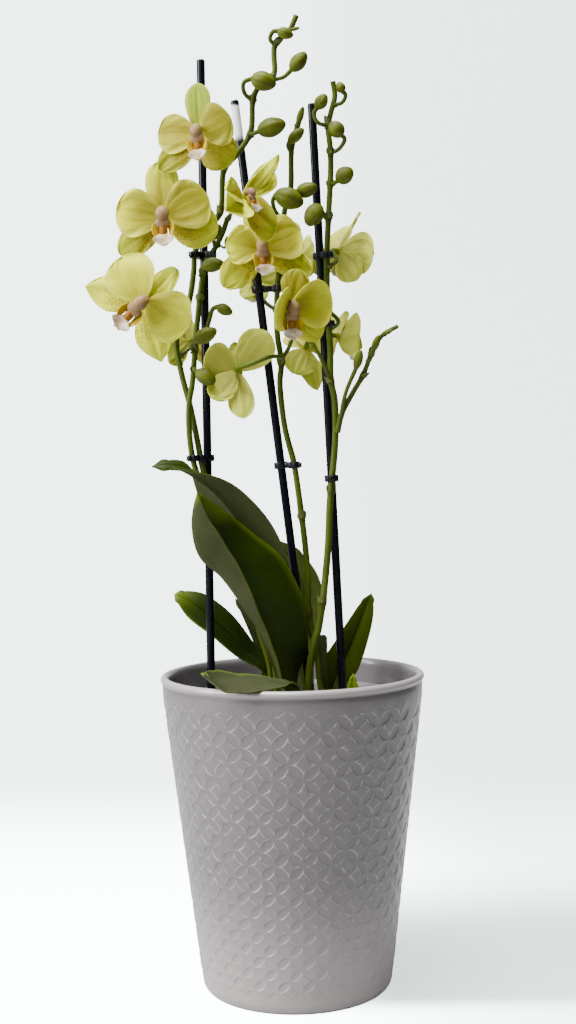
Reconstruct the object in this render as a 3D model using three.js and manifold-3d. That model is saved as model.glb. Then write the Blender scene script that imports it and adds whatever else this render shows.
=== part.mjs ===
// A moth orchid in its pot: four flowering spikes clipped to three stakes, two leafy crowns,
// and a tapered glazed outer pot with a raised pattern of overlapping circles.
// Millimetres, +Z up. The origin is the centre of the pot's foot, and the front is at -Y.
// A point is [across, depth, height]: across to the right, depth away from the front.

import * as THREE from 'three';
import { mergeVertices } from 'three/addons/utils/BufferGeometryUtils.js';
import Module from 'manifold-3d';

const wasm = await Module();
wasm.setup();

// ---------------------------------------------------------------- driving dimensions

const GAP = 0.3;                     // clearance between pieces that touch on the real plant

const POT_HEIGHT = 180;
const POT_RIM_R = 75;                // outside of the rim bead
const POT_FOOT_R = 53.5;             // outside of the wall, carried down to the table
const POT_SHOULDER_R = 73.9;         // outside of the wall just under the bead
const POT_SHOULDER_Z = 171;
const POT_WALL = 4;
const POT_FLOOR = 6;

const PATTERN_COLUMNS = 26;          // circles round the pot
const PATTERN_ROWS = 22;             // half circles up the wall
const PATTERN_TOP_Z = 166.1;         // middle of the highest row
const PATTERN_SQUASH = 0.98;         // height of a circle over its width
const PATTERN_RELIEF = 0.6;

const GROW_POT_RIM_Z = 167;
const GROW_POT_RIM_R = 62;
const GROW_POT_FOOT_R = 44;
const GROW_POT_WALL = 1.2;
const MEDIUM_TOP_Z = 152;

const STAKE_R = 2.4;
const STAKE_FOOT_Z = 112;            // how deep the stakes are pushed into the medium
const CLIP_HEIGHT = 3.8;
const CLIP_WALL = 1.5;

const LEAF_THICKNESS = 1.6;
const LEAF_TIP = [0.35, 0.08];          // where the last rows stand, in stations from the tip
const SLOT_SPREAD = 0.5;             // how much wider a leaf's slot is, per mm of clearance
const TEPAL_THICKNESS = 0.9;
const SEPAL_LENGTH = 31;             // of a flower of size 1
const SEPAL_WIDTH = 17;
const PETAL_LENGTH = 25;
const PETAL_WIDTH = 27;
const HUB_R = 3;
const HUB_BACK = 1.9;
const BUD_SIDES = 6;
const BUD_RINGS = 3;
const PEDICEL_R = 1.2;
const JOINT_SWELL = 0.35;

// ---------------------------------------------------------------- colours

const material = (color, roughness, metalness = 0) =>
  new THREE.MeshStandardMaterial({ color, roughness, metalness });

const GLAZE = material(0x9a9698, 0.3);
const GREY_PLASTIC = material(0x8c8c8c, 0.4);
const BARK = material(0x5a4030, 0.9);
const LEAF = material(0x2c4416, 0.45);
const STEM = material(0x5c7a2c, 0.5);
const TEPAL = material(0xd2d080, 0.6);
const LIP = material(0xd8c4c8, 0.55);
const BLACK_PLASTIC = material(0x14161c, 0.35);

// ---------------------------------------------------------------- solids

function toSolid(geometry) {
  const bare = geometry.clone();
  bare.deleteAttribute('normal');
  bare.deleteAttribute('uv');
  const merged = mergeVertices(bare, 1e-3);
  return new wasm.Manifold(new wasm.Mesh({
    numProp: 3,
    vertProperties: new Float32Array(merged.attributes.position.array),
    triVerts: new Uint32Array(merged.index.array),
  }));
}

function toGeometry(solid) {
  const { vertProperties, triVerts } = solid.getMesh();
  const geometry = new THREE.BufferGeometry();
  geometry.setAttribute('position', new THREE.BufferAttribute(vertProperties, 3));
  geometry.setIndex(new THREE.BufferAttribute(triVerts, 1));
  geometry.computeVertexNormals();
  return geometry;
}

const fuse = (solids) => solids.reduce((all, one) => all.add(one));

function closedMesh(points, triangles) {
  const geometry = new THREE.BufferGeometry();
  geometry.setAttribute('position', new THREE.Float32BufferAttribute(points.flatMap((p) => p.toArray()), 3));
  geometry.setIndex(triangles.flat());
  return geometry;
}

const vector = (p) => new THREE.Vector3(...p);
const smooth = (points) => new THREE.CatmullRomCurve3(points.map(vector), false, 'centripetal');

// A round bar through a row of points, with a radius that may change from point to point.
function bar(row, radiusAt, sides) {
  const last = row.length - 1;
  const tangents = row.map((_, i) =>
    row[Math.min(i + 1, last)].clone().sub(row[Math.max(i - 1, 0)]).normalize());
  let side = new THREE.Vector3(0, 1, 0).cross(tangents[0]);
  if (side.length() < 0.1) side = new THREE.Vector3(1, 0, 0);
  const points = [];
  const triangles = [];
  row.forEach((middle, i) => {
    side = side.clone().addScaledVector(tangents[i], -side.dot(tangents[i])).normalize();
    const other = tangents[i].clone().cross(side);
    for (let k = 0; k < sides; k += 1) {
      const turn = (2 * Math.PI * k) / sides;
      points.push(middle.clone()
        .addScaledVector(side, radiusAt(i / last) * Math.cos(turn))
        .addScaledVector(other, radiusAt(i / last) * Math.sin(turn)));
    }
  });
  for (let i = 0; i < last; i += 1) {
    for (let k = 0; k < sides; k += 1) {
      const a = i * sides + k;
      const b = i * sides + ((k + 1) % sides);
      triangles.push([a, b, b + sides], [a, b + sides, a + sides]);
    }
  }
  const top = last * sides;
  for (let k = 1; k < sides - 1; k += 1) {
    triangles.push([0, k + 1, k], [top, top + k, top + k + 1]);
  }
  return toSolid(closedMesh(points, triangles));
}

// A ball stretched along the way from one point, where it is sunk a little, to another.
function egg(from, to, radius, sides = BUD_SIDES, rings = BUD_RINGS) {
  const sunk = 1;
  const start = vector(from).addScaledVector(vector(to).sub(vector(from)).normalize(), -sunk);
  const way = vector(to).sub(start);
  const geometry = new THREE.SphereGeometry(1, sides, rings);
  geometry.scale(radius, way.length() / 2, radius);
  geometry.applyQuaternion(new THREE.Quaternion().setFromUnitVectors(
    new THREE.Vector3(0, 1, 0), way.clone().normalize()));
  const middle = start.addScaledVector(way, 0.5);
  geometry.translate(middle.x, middle.y, middle.z);
  return toSolid(geometry);
}

// A thin closed blade. middle(u, v) is a point half way through it, with u from the root to
// the tip and v from -1 to 1 across. Both faces are split into triangles alike.
function blade(middle, rootToTip, columns, thickness) {
  const rows = rootToTip.length - 1;
  const across = (j) => (2 * j) / columns - 1;
  const nudge = 0.02;
  const faces = [[], []];
  for (let i = 0; i <= rows; i += 1) {
    for (let j = 0; j <= columns; j += 1) {
      const u = THREE.MathUtils.clamp(rootToTip[i], nudge, 1 - nudge);
      const v = across(j) * (1 - nudge);
      const along = middle(u + nudge, v).sub(middle(u - nudge, v));
      const sideways = middle(u, v + nudge).sub(middle(u, v - nudge));
      const normal = sideways.cross(along).normalize();
      const point = middle(rootToTip[i], across(j));
      faces[0].push(point.clone().addScaledVector(normal, thickness / 2));
      faces[1].push(point.clone().addScaledVector(normal, -thickness / 2));
    }
  }
  const back = faces[0].length;
  const at = (i, j) => i * (columns + 1) + j;
  const triangles = [];
  for (let i = 0; i < rows; i += 1) {
    for (let j = 0; j < columns; j += 1) {
      const [a, b, c, d] = [at(i, j), at(i, j + 1), at(i + 1, j + 1), at(i + 1, j)];
      const corner = j < columns / 2 ? [[a, b, c], [a, c, d]] : [[a, b, d], [b, c, d]];
      for (const [p, q, r] of corner) {
        triangles.push([p, q, r], [back + p, back + r, back + q]);
      }
    }
  }
  const edge = [];
  for (let j = 0; j < columns; j += 1) edge.push(at(0, j));
  for (let i = 0; i < rows; i += 1) edge.push(at(i, columns));
  for (let j = columns; j > 0; j -= 1) edge.push(at(rows, j));
  for (let i = rows; i > 0; i -= 1) edge.push(at(i, 0));
  edge.forEach((p, n) => {
    const q = edge[(n + 1) % edge.length];
    triangles.push([q, p, back + p], [q, back + p, back + q]);
  });
  return toSolid(closedMesh([...faces[0], ...faces[1]], triangles));
}

// ---------------------------------------------------------------- the scene

const plant = new THREE.Group();

function add(name, solid, finish) {
  const mesh = new THREE.Mesh(toGeometry(solid), finish);
  mesh.name = name;
  plant.add(mesh);
}

// ---------------------------------------------------------------- pots and medium

const wallRadius = (z) =>
  THREE.MathUtils.mapLinear(z, 0, POT_SHOULDER_Z, POT_FOOT_R, POT_SHOULDER_R);

// Heights of the pattern's half rows, from the top down: a circle is as wide as the wall
// allows there, so the rows close up towards the foot.
function patternHeights() {
  const heights = [PATTERN_TOP_Z];
  while (heights.length < PATTERN_ROWS) {
    const z = heights.at(-1);
    heights.push(z - (PATTERN_SQUASH * Math.PI * wallRadius(z)) / PATTERN_COLUMNS);
  }
  return heights;
}

// The wall is a net of points at the circles' centres, which stand proud, and at the points
// where four circles meet, with each cell folded along the valley between two such points.
function outerPot() {
  const sides = 2 * PATTERN_COLUMNS;
  const rings = [
    { r: POT_FOOT_R - 4.5, z: 0 },
    { r: POT_FOOT_R - 1.3, z: 1.2 },
    ...patternHeights().reverse().map((z, row) => ({ r: wallRadius(z), z, row })),
    { r: POT_SHOULDER_R - 0.2, z: POT_SHOULDER_Z },
    { r: POT_RIM_R, z: POT_SHOULDER_Z + 3.5 },
    { r: POT_RIM_R - 1.6, z: POT_HEIGHT },
    { r: POT_RIM_R - 4.4, z: POT_HEIGHT - 1.2 },
    { r: wallRadius(POT_SHOULDER_Z) - POT_WALL, z: POT_SHOULDER_Z - 1 },
    { r: wallRadius(POT_FLOOR) - POT_WALL - 2, z: POT_FLOOR },
  ];
  const proud = (ring, k) => (ring.row !== undefined && (ring.row + k) % 2 ? PATTERN_RELIEF : 0);
  const points = [new THREE.Vector3(0, 0, 0), new THREE.Vector3(0, 0, POT_FLOOR)];
  rings.forEach((ring) => {
    for (let k = 0; k < sides; k += 1) {
      const turn = (2 * Math.PI * k) / sides - Math.PI / 2;
      const radius = ring.r + proud(ring, k);
      points.push(new THREE.Vector3(radius * Math.cos(turn), radius * Math.sin(turn), ring.z));
    }
  });
  const at = (i, k) => 2 + i * sides + (k % sides);
  const triangles = [];
  for (let k = 0; k < sides; k += 1) {
    triangles.push([0, at(0, k + 1), at(0, k)]);
    triangles.push([1, at(rings.length - 1, k), at(rings.length - 1, k + 1)]);
    for (let i = 0; i < rings.length - 1; i += 1) {
      const [a, b, c, d] = [at(i, k), at(i, k + 1), at(i + 1, k + 1), at(i + 1, k)];
      const valleyFromA = ((rings[i].row ?? i) + k) % 2 === 0;
      triangles.push(...(valleyFromA ? [[a, b, c], [a, c, d]] : [[a, b, d], [b, c, d]]));
    }
  }
  return toSolid(closedMesh(points, triangles));
}

const growPotRadius = (z) =>
  THREE.MathUtils.mapLinear(z, POT_FLOOR, GROW_POT_RIM_Z, GROW_POT_FOOT_R, GROW_POT_RIM_R - 2);

function turned(profile, sides) {
  return toSolid(new THREE.LatheGeometry(profile.map(([r, z]) => new THREE.Vector2(r, z)), sides)
    .rotateX(Math.PI / 2));
}

function growPot() {
  const foot = POT_FLOOR + GAP;
  const lip = growPotRadius(GROW_POT_RIM_Z - 3);
  return turned([
    [0, foot], [GROW_POT_FOOT_R, foot], [lip, GROW_POT_RIM_Z - 3], [GROW_POT_RIM_R, GROW_POT_RIM_Z - 3],
    [GROW_POT_RIM_R, GROW_POT_RIM_Z], [lip - GROW_POT_WALL, GROW_POT_RIM_Z],
    [GROW_POT_FOOT_R - GROW_POT_WALL, foot + GROW_POT_WALL], [0, foot + GROW_POT_WALL],
  ], 24);
}

// The medium is a plug of bark with a hole for each stake, stem and crown that stands in it.
function medium(standing) {
  const foot = POT_FLOOR + 2 * GAP + GROW_POT_WALL;
  const inset = GROW_POT_WALL + 2 * GAP;
  const plug = turned([
    [0, foot], [growPotRadius(foot) - inset, foot], [growPotRadius(MEDIUM_TOP_Z) - inset, MEDIUM_TOP_Z - 1.5],
    [0.7 * GROW_POT_RIM_R, MEDIUM_TOP_Z + 1], [0, MEDIUM_TOP_Z + 1.5],
  ], 24);
  return standing.reduce((left, piece) => left.subtract(piece), plug);
}

// ---------------------------------------------------------------- stakes and clips

const STAKES = {
  left: { top: [-46, 14, 531], foot: [-47, 14, 179] },
  middle: { top: [-27, 12, 507], foot: [10, 12, 167] },
  right: { top: [17, 10, 504], foot: [29, 10, 168] },
};

// A stake runs straight on past the height where the pot's rim hides it.
function stakeLine({ top, foot }) {
  const [upper, lower] = [vector(top), vector(foot)];
  const share = (upper.z - STAKE_FOOT_Z) / (upper.z - lower.z);
  return [upper.clone().lerp(lower, share), upper];
}

function stake(place, extra = 0) {
  const [foot, top] = stakeLine(place);
  foot.z -= extra;
  return bar([foot, top], () => STAKE_R + extra, 8);
}

// The point at a height on a row of points that climbs past it.
function atHeight(row, height) {
  const above = row.findIndex((point) => point.z > height);
  const [low, high] = [row[above - 1], row[above]];
  return low.clone().lerp(high, (height - low.z) / (high.z - low.z));
}

// A flat link with round ends, from the middle of the stake's ring to the middle of a stem's.
function link(from, to, endRadius, upright) {
  const length = from.distanceTo(to);
  const outline = new THREE.Shape();
  outline.absarc(0, 0, STAKE_R + GAP + CLIP_WALL, Math.PI / 2, 1.5 * Math.PI);
  outline.absarc(length, 0, endRadius, -Math.PI / 2, Math.PI / 2);
  const geometry = new THREE.ExtrudeGeometry(outline, {
    depth: CLIP_HEIGHT, bevelEnabled: false, curveSegments: 3,
  });
  const along = to.clone().sub(from).normalize();
  const up = upright.clone().addScaledVector(along, -upright.dot(along)).normalize();
  const frame = new THREE.Matrix4().makeBasis(along, up.clone().cross(along), up);
  geometry.translate(0, 0, -CLIP_HEIGHT / 2).applyMatrix4(frame);
  return toSolid(geometry.translate(from.x, from.y, from.z));
}

// A clip holds the stake and one or two stems side by side, each in a ring of its own.
function clip(place, height, spikes) {
  const [foot, top] = stakeLine(place);
  const upright = top.clone().sub(foot).normalize();
  const middle = atHeight([foot, top], height);
  const body = fuse(spikes.map((spike) => link(
    middle, atHeight(spike.route.map(vector), height), spike.radii[0] + GAP + CLIP_WALL, upright)));
  return spikes.reduce((left, spike) => left.subtract(stem(spike, GAP)), body)
    .subtract(stake(place, GAP));
}

// ---------------------------------------------------------------- leaves

// rib, near and far: the middle line and the two edges of a leaf, root to tip, with as many
// points each. The near edge is the one closer to the front.
function leaf({ rib, near, far }, extra = 0) {
  const root = (points) => smooth(points.map(([x, y, z], i) => [x, y, i ? z : z - extra]));
  const [middleLine, nearEdge, farEdge] = [rib, near, far].map(root);
  const reach = 1 + extra * SLOT_SPREAD;
  const middle = (u, v) =>
    middleLine.getPoint(u).lerp((v < 0 ? nearEdge : farEdge).getPoint(u), Math.abs(v) * reach);
  const last = rib.length - 1;
  const rows = [...rib.keys()].slice(0, -1).map((i) => i / last);
  return blade(middle, [...rows, 1 - LEAF_TIP[0] / last, 1 - LEAF_TIP[1] / last], 2,
    LEAF_THICKNESS + 3 * extra);
}

const LEAVES = {
  leaf_back_tall: {
    rib: [[3, 6, 145], [-5, 3, 192], [-13, 2, 227], [-22.5, -4, 253], [-31.5, -9, 271], [-44, -13, 286],
      [-56.5, -17, 295.5], [-66, -20, 299], [-76, -22, 298.5]],
    near: [[9, 4, 145], [3, 1, 198.5], [0.5, -2, 236], [-7, -6, 259], [-20, -11, 278],
      [-36, -16, 290.5], [-55, -22, 295], [-65, -23, 296], [-76, -22, 298.5]],
    far: [[-3, 8, 145], [-12.5, 4, 186], [-26.5, 5, 218], [-39, 1, 244.5], [-46.5, -2, 265],
      [-52, -7, 284], [-58.5, -11, 296], [-66.5, -15, 302.5], [-76, -22, 298.5]],
  },
  leaf_front_tall: {
    rib: [[-1, -9, 145], [-7.5, -12, 182], [-14.5, -13, 200], [-25.5, -15, 218], [-38, -18, 236.5],
      [-49.5, -22, 248.5], [-53, -27, 265.5], [-50, -33, 284]],
    near: [[0, -15, 145], [-6.5, -22, 182.5], [-11, -23, 198.5], [-18, -25, 217.5], [-26, -28, 238],
      [-36.5, -31, 257], [-45.5, -33, 272], [-50, -33, 284]],
    far: [[5, -7, 145], [2.5, -4, 176], [9, -4, 196], [7, -6, 221.5], [-5, -9, 246.5],
      [-19.5, -13, 259.5], [-33.5, -20, 271.5], [-50, -33, 284]],
  },
  leaf_left: {
    rib: [[-8, 25, 145], [-9, 25, 158], [-14, 26, 178.5], [-27, 27, 189.5], [-41, 28, 203],
      [-53.5, 29, 214], [-63, 30, 220], [-69, 31, 223]],
    near: [[-8, 20, 145], [-9, 20, 158], [-17, 21, 177], [-32.5, 22, 186.5], [-47.5, 23, 199.5],
      [-59.5, 25, 208.5], [-66.5, 27, 218], [-69, 31, 223]],
    far: [[-8, 30, 145], [-9, 30, 158], [-10.5, 31, 179.5], [-21, 32, 191.5], [-35, 33, 210],
      [-51, 34, 222.5], [-63, 33, 224.5], [-69, 31, 223]],
  },
  leaf_low_front: {
    rib: [[6, -20, 145], [2, -32, 176], [-7, -50, 179], [-20, -60, 181], [-33, -66, 183],
      [-42.5, -70, 185], [-47.5, -74, 189]],
    near: [[9, -25, 145], [2, -38, 178.5], [-5, -58, 184.5], [-18, -70, 188.5], [-32.5, -76, 190.5],
      [-42, -77, 191], [-47.5, -74, 189]],
    far: [[4, -16, 145], [-1.5, -26, 177], [-9.5, -38, 179], [-23, -47, 181], [-34.5, -55, 183.5],
      [-42.5, -64, 187.5], [-47.5, -74, 189]],
  },
  leaf_small_left: {
    rib: [[-20, 37, 145], [-13, 38, 178], [-20, 40, 196], [-26, 41, 209.5], [-33.5, 42, 219]],
    near: [[-25, 35, 145], [-18, 36, 178.5], [-24.5, 38, 197.5], [-30.5, 40, 212], [-33.5, 42, 219]],
    far: [[-15, 35, 145], [-9, 36, 180.5], [-15, 38, 197], [-22, 40, 210], [-33.5, 42, 219]],
  },
  leaf_back_right: {
    rib: [[8, 27, 145], [6.5, 27, 180.5], [8, 28, 206.5], [5.5, 29, 227.5], [-2, 31, 244.5],
      [-13, 33, 256.5]],
    near: [[2, 24, 145], [0, 24, 181], [-2.5, 24, 207.5], [-6.5, 25, 225], [-12, 28, 242.5],
      [-13, 33, 256.5]],
    far: [[14, 24, 145], [12.5, 24, 183.5], [17, 24, 211.5], [17.5, 25, 229], [7.5, 28, 245],
      [-13, 33, 256.5]],
  },
  leaf_right: {
    rib: [[27, 25, 145], [23, 25, 165.5], [28.5, 25.5, 178.5], [34, 26, 190], [40.5, 27, 205],
      [44.5, 28, 215.5], [47.5, 28, 222]],
    near: [[20, 22, 145], [15.5, 22, 165], [17.5, 22, 182], [25.5, 23, 194.5], [35, 24.5, 208.5],
      [41, 26, 216.5], [47.5, 28, 222]],
    far: [[34, 22, 145], [32, 22, 166], [39, 22, 178.5], [44, 23, 192], [48, 24.5, 207.5],
      [48.5, 26, 216], [47.5, 28, 222]],
  },
  leaf_young_blunt: {
    rib: [[19, 15, 145], [17.5, 16, 180], [18, 17, 190], [18.5, 17.5, 196], [18.5, 18, 199]],
    near: [[16, 14, 145], [14.5, 15, 180], [15, 16, 190.5], [15.5, 17, 196], [17, 18, 199]],
    far: [[22, 14, 145], [20, 15, 180], [20.5, 16, 190], [20.5, 17, 196], [19.5, 18, 199]],
  },
  leaf_yellow_tip: {
    rib: [[37, 3, 145], [34.5, 3, 168.5], [34.5, 3, 174], [35, 3, 178]],
    near: [[33, 2, 145], [31, 2, 169], [32.5, 2, 174], [35, 3, 178]],
    far: [[41, 2, 145], [38.5, 2, 168.5], [36.5, 2, 174], [35, 3, 178]],
  },
};

// ---------------------------------------------------------------- flowers

// A tepal's half width along its length: a narrow claw, a broad middle and a rounded tip.
function tepalWidth(u, claw, widest) {
  const swell = u < widest
    ? Math.sin((Math.PI / 2) * (u / widest)) ** 0.8
    : Math.max(0.02, 1 - ((u - widest) / (1 - widest)) ** 2.2) ** 0.55;
  return claw * (1 - u) + (1 - claw * (1 - u)) * swell;
}

// One tepal in the flower's own frame: +Z faces out of the flower and +Y is its top. around is
// the tepal's direction, clockwise from the top. lift bends it forward from the flower's plane,
// and forward is how far its root stands in front of that plane: petals lie over sepals.
function tepal({ around, length, width, lift, curl, cup, claw, widest, rows, columns, forward }) {
  const turn = THREE.MathUtils.degToRad(around);
  const outward = new THREE.Vector3(Math.sin(turn), Math.cos(turn), 0);
  const sideways = new THREE.Vector3(Math.cos(turn), -Math.sin(turn), 0);
  const middle = (u, v) => {
    const bend = THREE.MathUtils.degToRad(lift + curl * u);
    const reach = (width / 2) * tepalWidth(u, claw, widest);
    return outward.clone().multiplyScalar(1.2 + length * u * Math.cos(bend))
      .addScaledVector(sideways, reach * v)
      .add(new THREE.Vector3(0, 0, forward + length * u * Math.sin(bend) + cup * reach * v * v));
  };
  return blade(middle, rows, columns, TEPAL_THICKNESS);
}

const SEPAL = { claw: 0.2, widest: 0.5, rows: [0, 0.42, 0.8, 1], columns: 1, forward: -0.6 };
const PETAL = { claw: 0.14, widest: 0.6, rows: [0, 0.36, 0.68, 0.9, 1], columns: 2, forward: 0.7 };

// A flower's tepals. lifts bend the top sepal, the left and right petals, and the left and
// right lower sepals forward, in degrees, from the flat open flower. petalsAt and sepalsAt are
// how far the petals and the lower sepals stand from the top sepal.
function tepals({ size, lifts, petalsAt = 70, sepalsAt = 122 }) {
  const [top, left, right, lowerLeft, lowerRight] = lifts;
  const sepal = (around, lift) => tepal({
    ...SEPAL, around, length: SEPAL_LENGTH * size, width: SEPAL_WIDTH * size, lift, curl: -8, cup: -0.06,
  });
  const petal = (around, lift) => tepal({
    ...PETAL, around, length: PETAL_LENGTH * size, width: PETAL_WIDTH * size, lift: lift + 5, curl: -14,
    cup: 0.1,
  });
  const hub = new THREE.SphereGeometry(HUB_R, 6, 2).rotateX(Math.PI / 2).scale(1, 1, HUB_BACK / HUB_R);
  return fuse([
    toSolid(hub), sepal(0, top), sepal(-sepalsAt, lowerLeft), sepal(sepalsAt, lowerRight),
    petal(-petalsAt, left), petal(petalsAt, right),
  ]);
}

// The column stands out of the flower's middle. The lip hangs from its root, with two upright
// side lobes and a tongue that reaches forward and down.
function columnAndLip(size) {
  const s = size;
  const z = HUB_BACK + GAP;
  const lobe = (from, to, radius, squeeze, spin = 0, rings = 3) => {
    const geometry = new THREE.SphereGeometry(1, 4, rings);
    const way = vector(to).sub(vector(from)).multiplyScalar(s);
    geometry.scale(radius * s, way.length() / 2, squeeze * s).rotateY(spin);
    geometry.applyQuaternion(new THREE.Quaternion().setFromUnitVectors(
      new THREE.Vector3(0, 1, 0), way.clone().normalize()));
    const half = vector(from).multiplyScalar(s).addScaledVector(way, 0.5);
    return toSolid(geometry.translate(half.x, half.y, half.z + z));
  };
  return fuse([
    lobe([0, 0.8, 0], [0, 1.5, 8.5], 2.6, 2.4),
    lobe([0, 1, 2], [-6, -4.5, 8.5], 2.8, 1.4, 0.3, 2),
    lobe([0, 1, 2], [6, -4.5, 8.5], 2.8, 1.4, -0.3, 2),
    lobe([0, 0.5, 2.5], [0, -13, 8], 4.2, 1.8),
  ]);
}

// at: the flower's middle. yaw: degrees it faces to the right of the front, so 180 shows its
// back. pitch: degrees it faces up. roll: degrees its top leans to the right, seen from its face.
const FLOWERS = {
  flower_01: { at: [-45, -24, 480], yaw: -14, pitch: 0, roll: -6, size: 0.92, lifts: [0, 5, 22, 10, 0] },
  flower_02: { at: [-66, -20, 436], yaw: -4, pitch: 0, roll: -4, size: 1, lifts: [0, 12, 4, 4, 4] },
  flower_03: { at: [-78, -22, 389], yaw: -12, pitch: -10, roll: 48, size: 1.05, lifts: [5, 6, 4, 0, 6] },
  flower_04: { at: [-22, -41, 442], yaw: 50, pitch: 18, roll: -14, size: 0.9, lifts: [30, 45, 20, 40, 10] },
  flower_05: { at: [-13, -16, 418], yaw: 6, pitch: 2, roll: -4, size: 0.92, lifts: [-14, 10, 4, 8, 4] },
  flower_06: {
    at: [2, -24, 385], yaw: 16, pitch: -14, roll: 2, size: 0.95, lifts: [0, 55, 4, -30, -12], sepalsAt: 150,
  },
  flower_07: {
    at: [-28, 1, 352], yaw: 184, pitch: -8, roll: -8, size: 0.92, lifts: [40, 8, -30, 4, 4],
    petalsAt: 50, sepalsAt: 150,
  },
  flower_08: { at: [11, 26, 366], yaw: 194, pitch: -24, roll: 4, size: 0.8, lifts: [10, 55, 34, 48, 26] },
  flower_09: {
    at: [31, 20, 421], yaw: 158, pitch: 4, roll: -27, size: 0.85, lifts: [30, 0, 60, 4, 40], sepalsAt: 140,
  },
  flower_10: { at: [31, 40, 374], yaw: 115, pitch: -4, roll: 6, size: 0.8, lifts: [10, 6, 6, 6, 6] },
  flower_11: { at: [8, 36, 420], yaw: 120, pitch: 4, roll: 0, size: 0.62, lifts: [10, 10, 10, 6, 6] },
  flower_12: { at: [-57, 30, 372], yaw: 236, pitch: -10, roll: 0, size: 0.8, lifts: [10, 20, 20, 10, 10] },
  flower_13: { at: [-19, 28, 407], yaw: 180, pitch: -6, roll: 0, size: 0.7, lifts: [6, 6, 6, 4, 4] },
};

function flowerFrame({ at, yaw, pitch, roll }) {
  const [y, p, r] = [yaw, pitch, roll].map(THREE.MathUtils.degToRad);
  const facing = new THREE.Vector3(Math.sin(y) * Math.cos(p), -Math.cos(y) * Math.cos(p), Math.sin(p));
  const right = new THREE.Vector3(Math.cos(y), Math.sin(y), 0);
  const up = facing.clone().cross(right);
  const frame = new THREE.Matrix4().makeBasis(right, up, facing);
  return new THREE.Matrix4().makeTranslation(...at).multiply(frame)
    .multiply(new THREE.Matrix4().makeRotationZ(-r));
}

function placed(solid, frame) {
  return toSolid(toGeometry(solid).applyMatrix4(frame));
}

// A point straight behind a flower's middle.
function behind(name, distance) {
  return new THREE.Vector3(0, 0, -distance).applyMatrix4(flowerFrame(FLOWERS[name])).toArray();
}

// ---------------------------------------------------------------- flowering spikes

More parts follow.
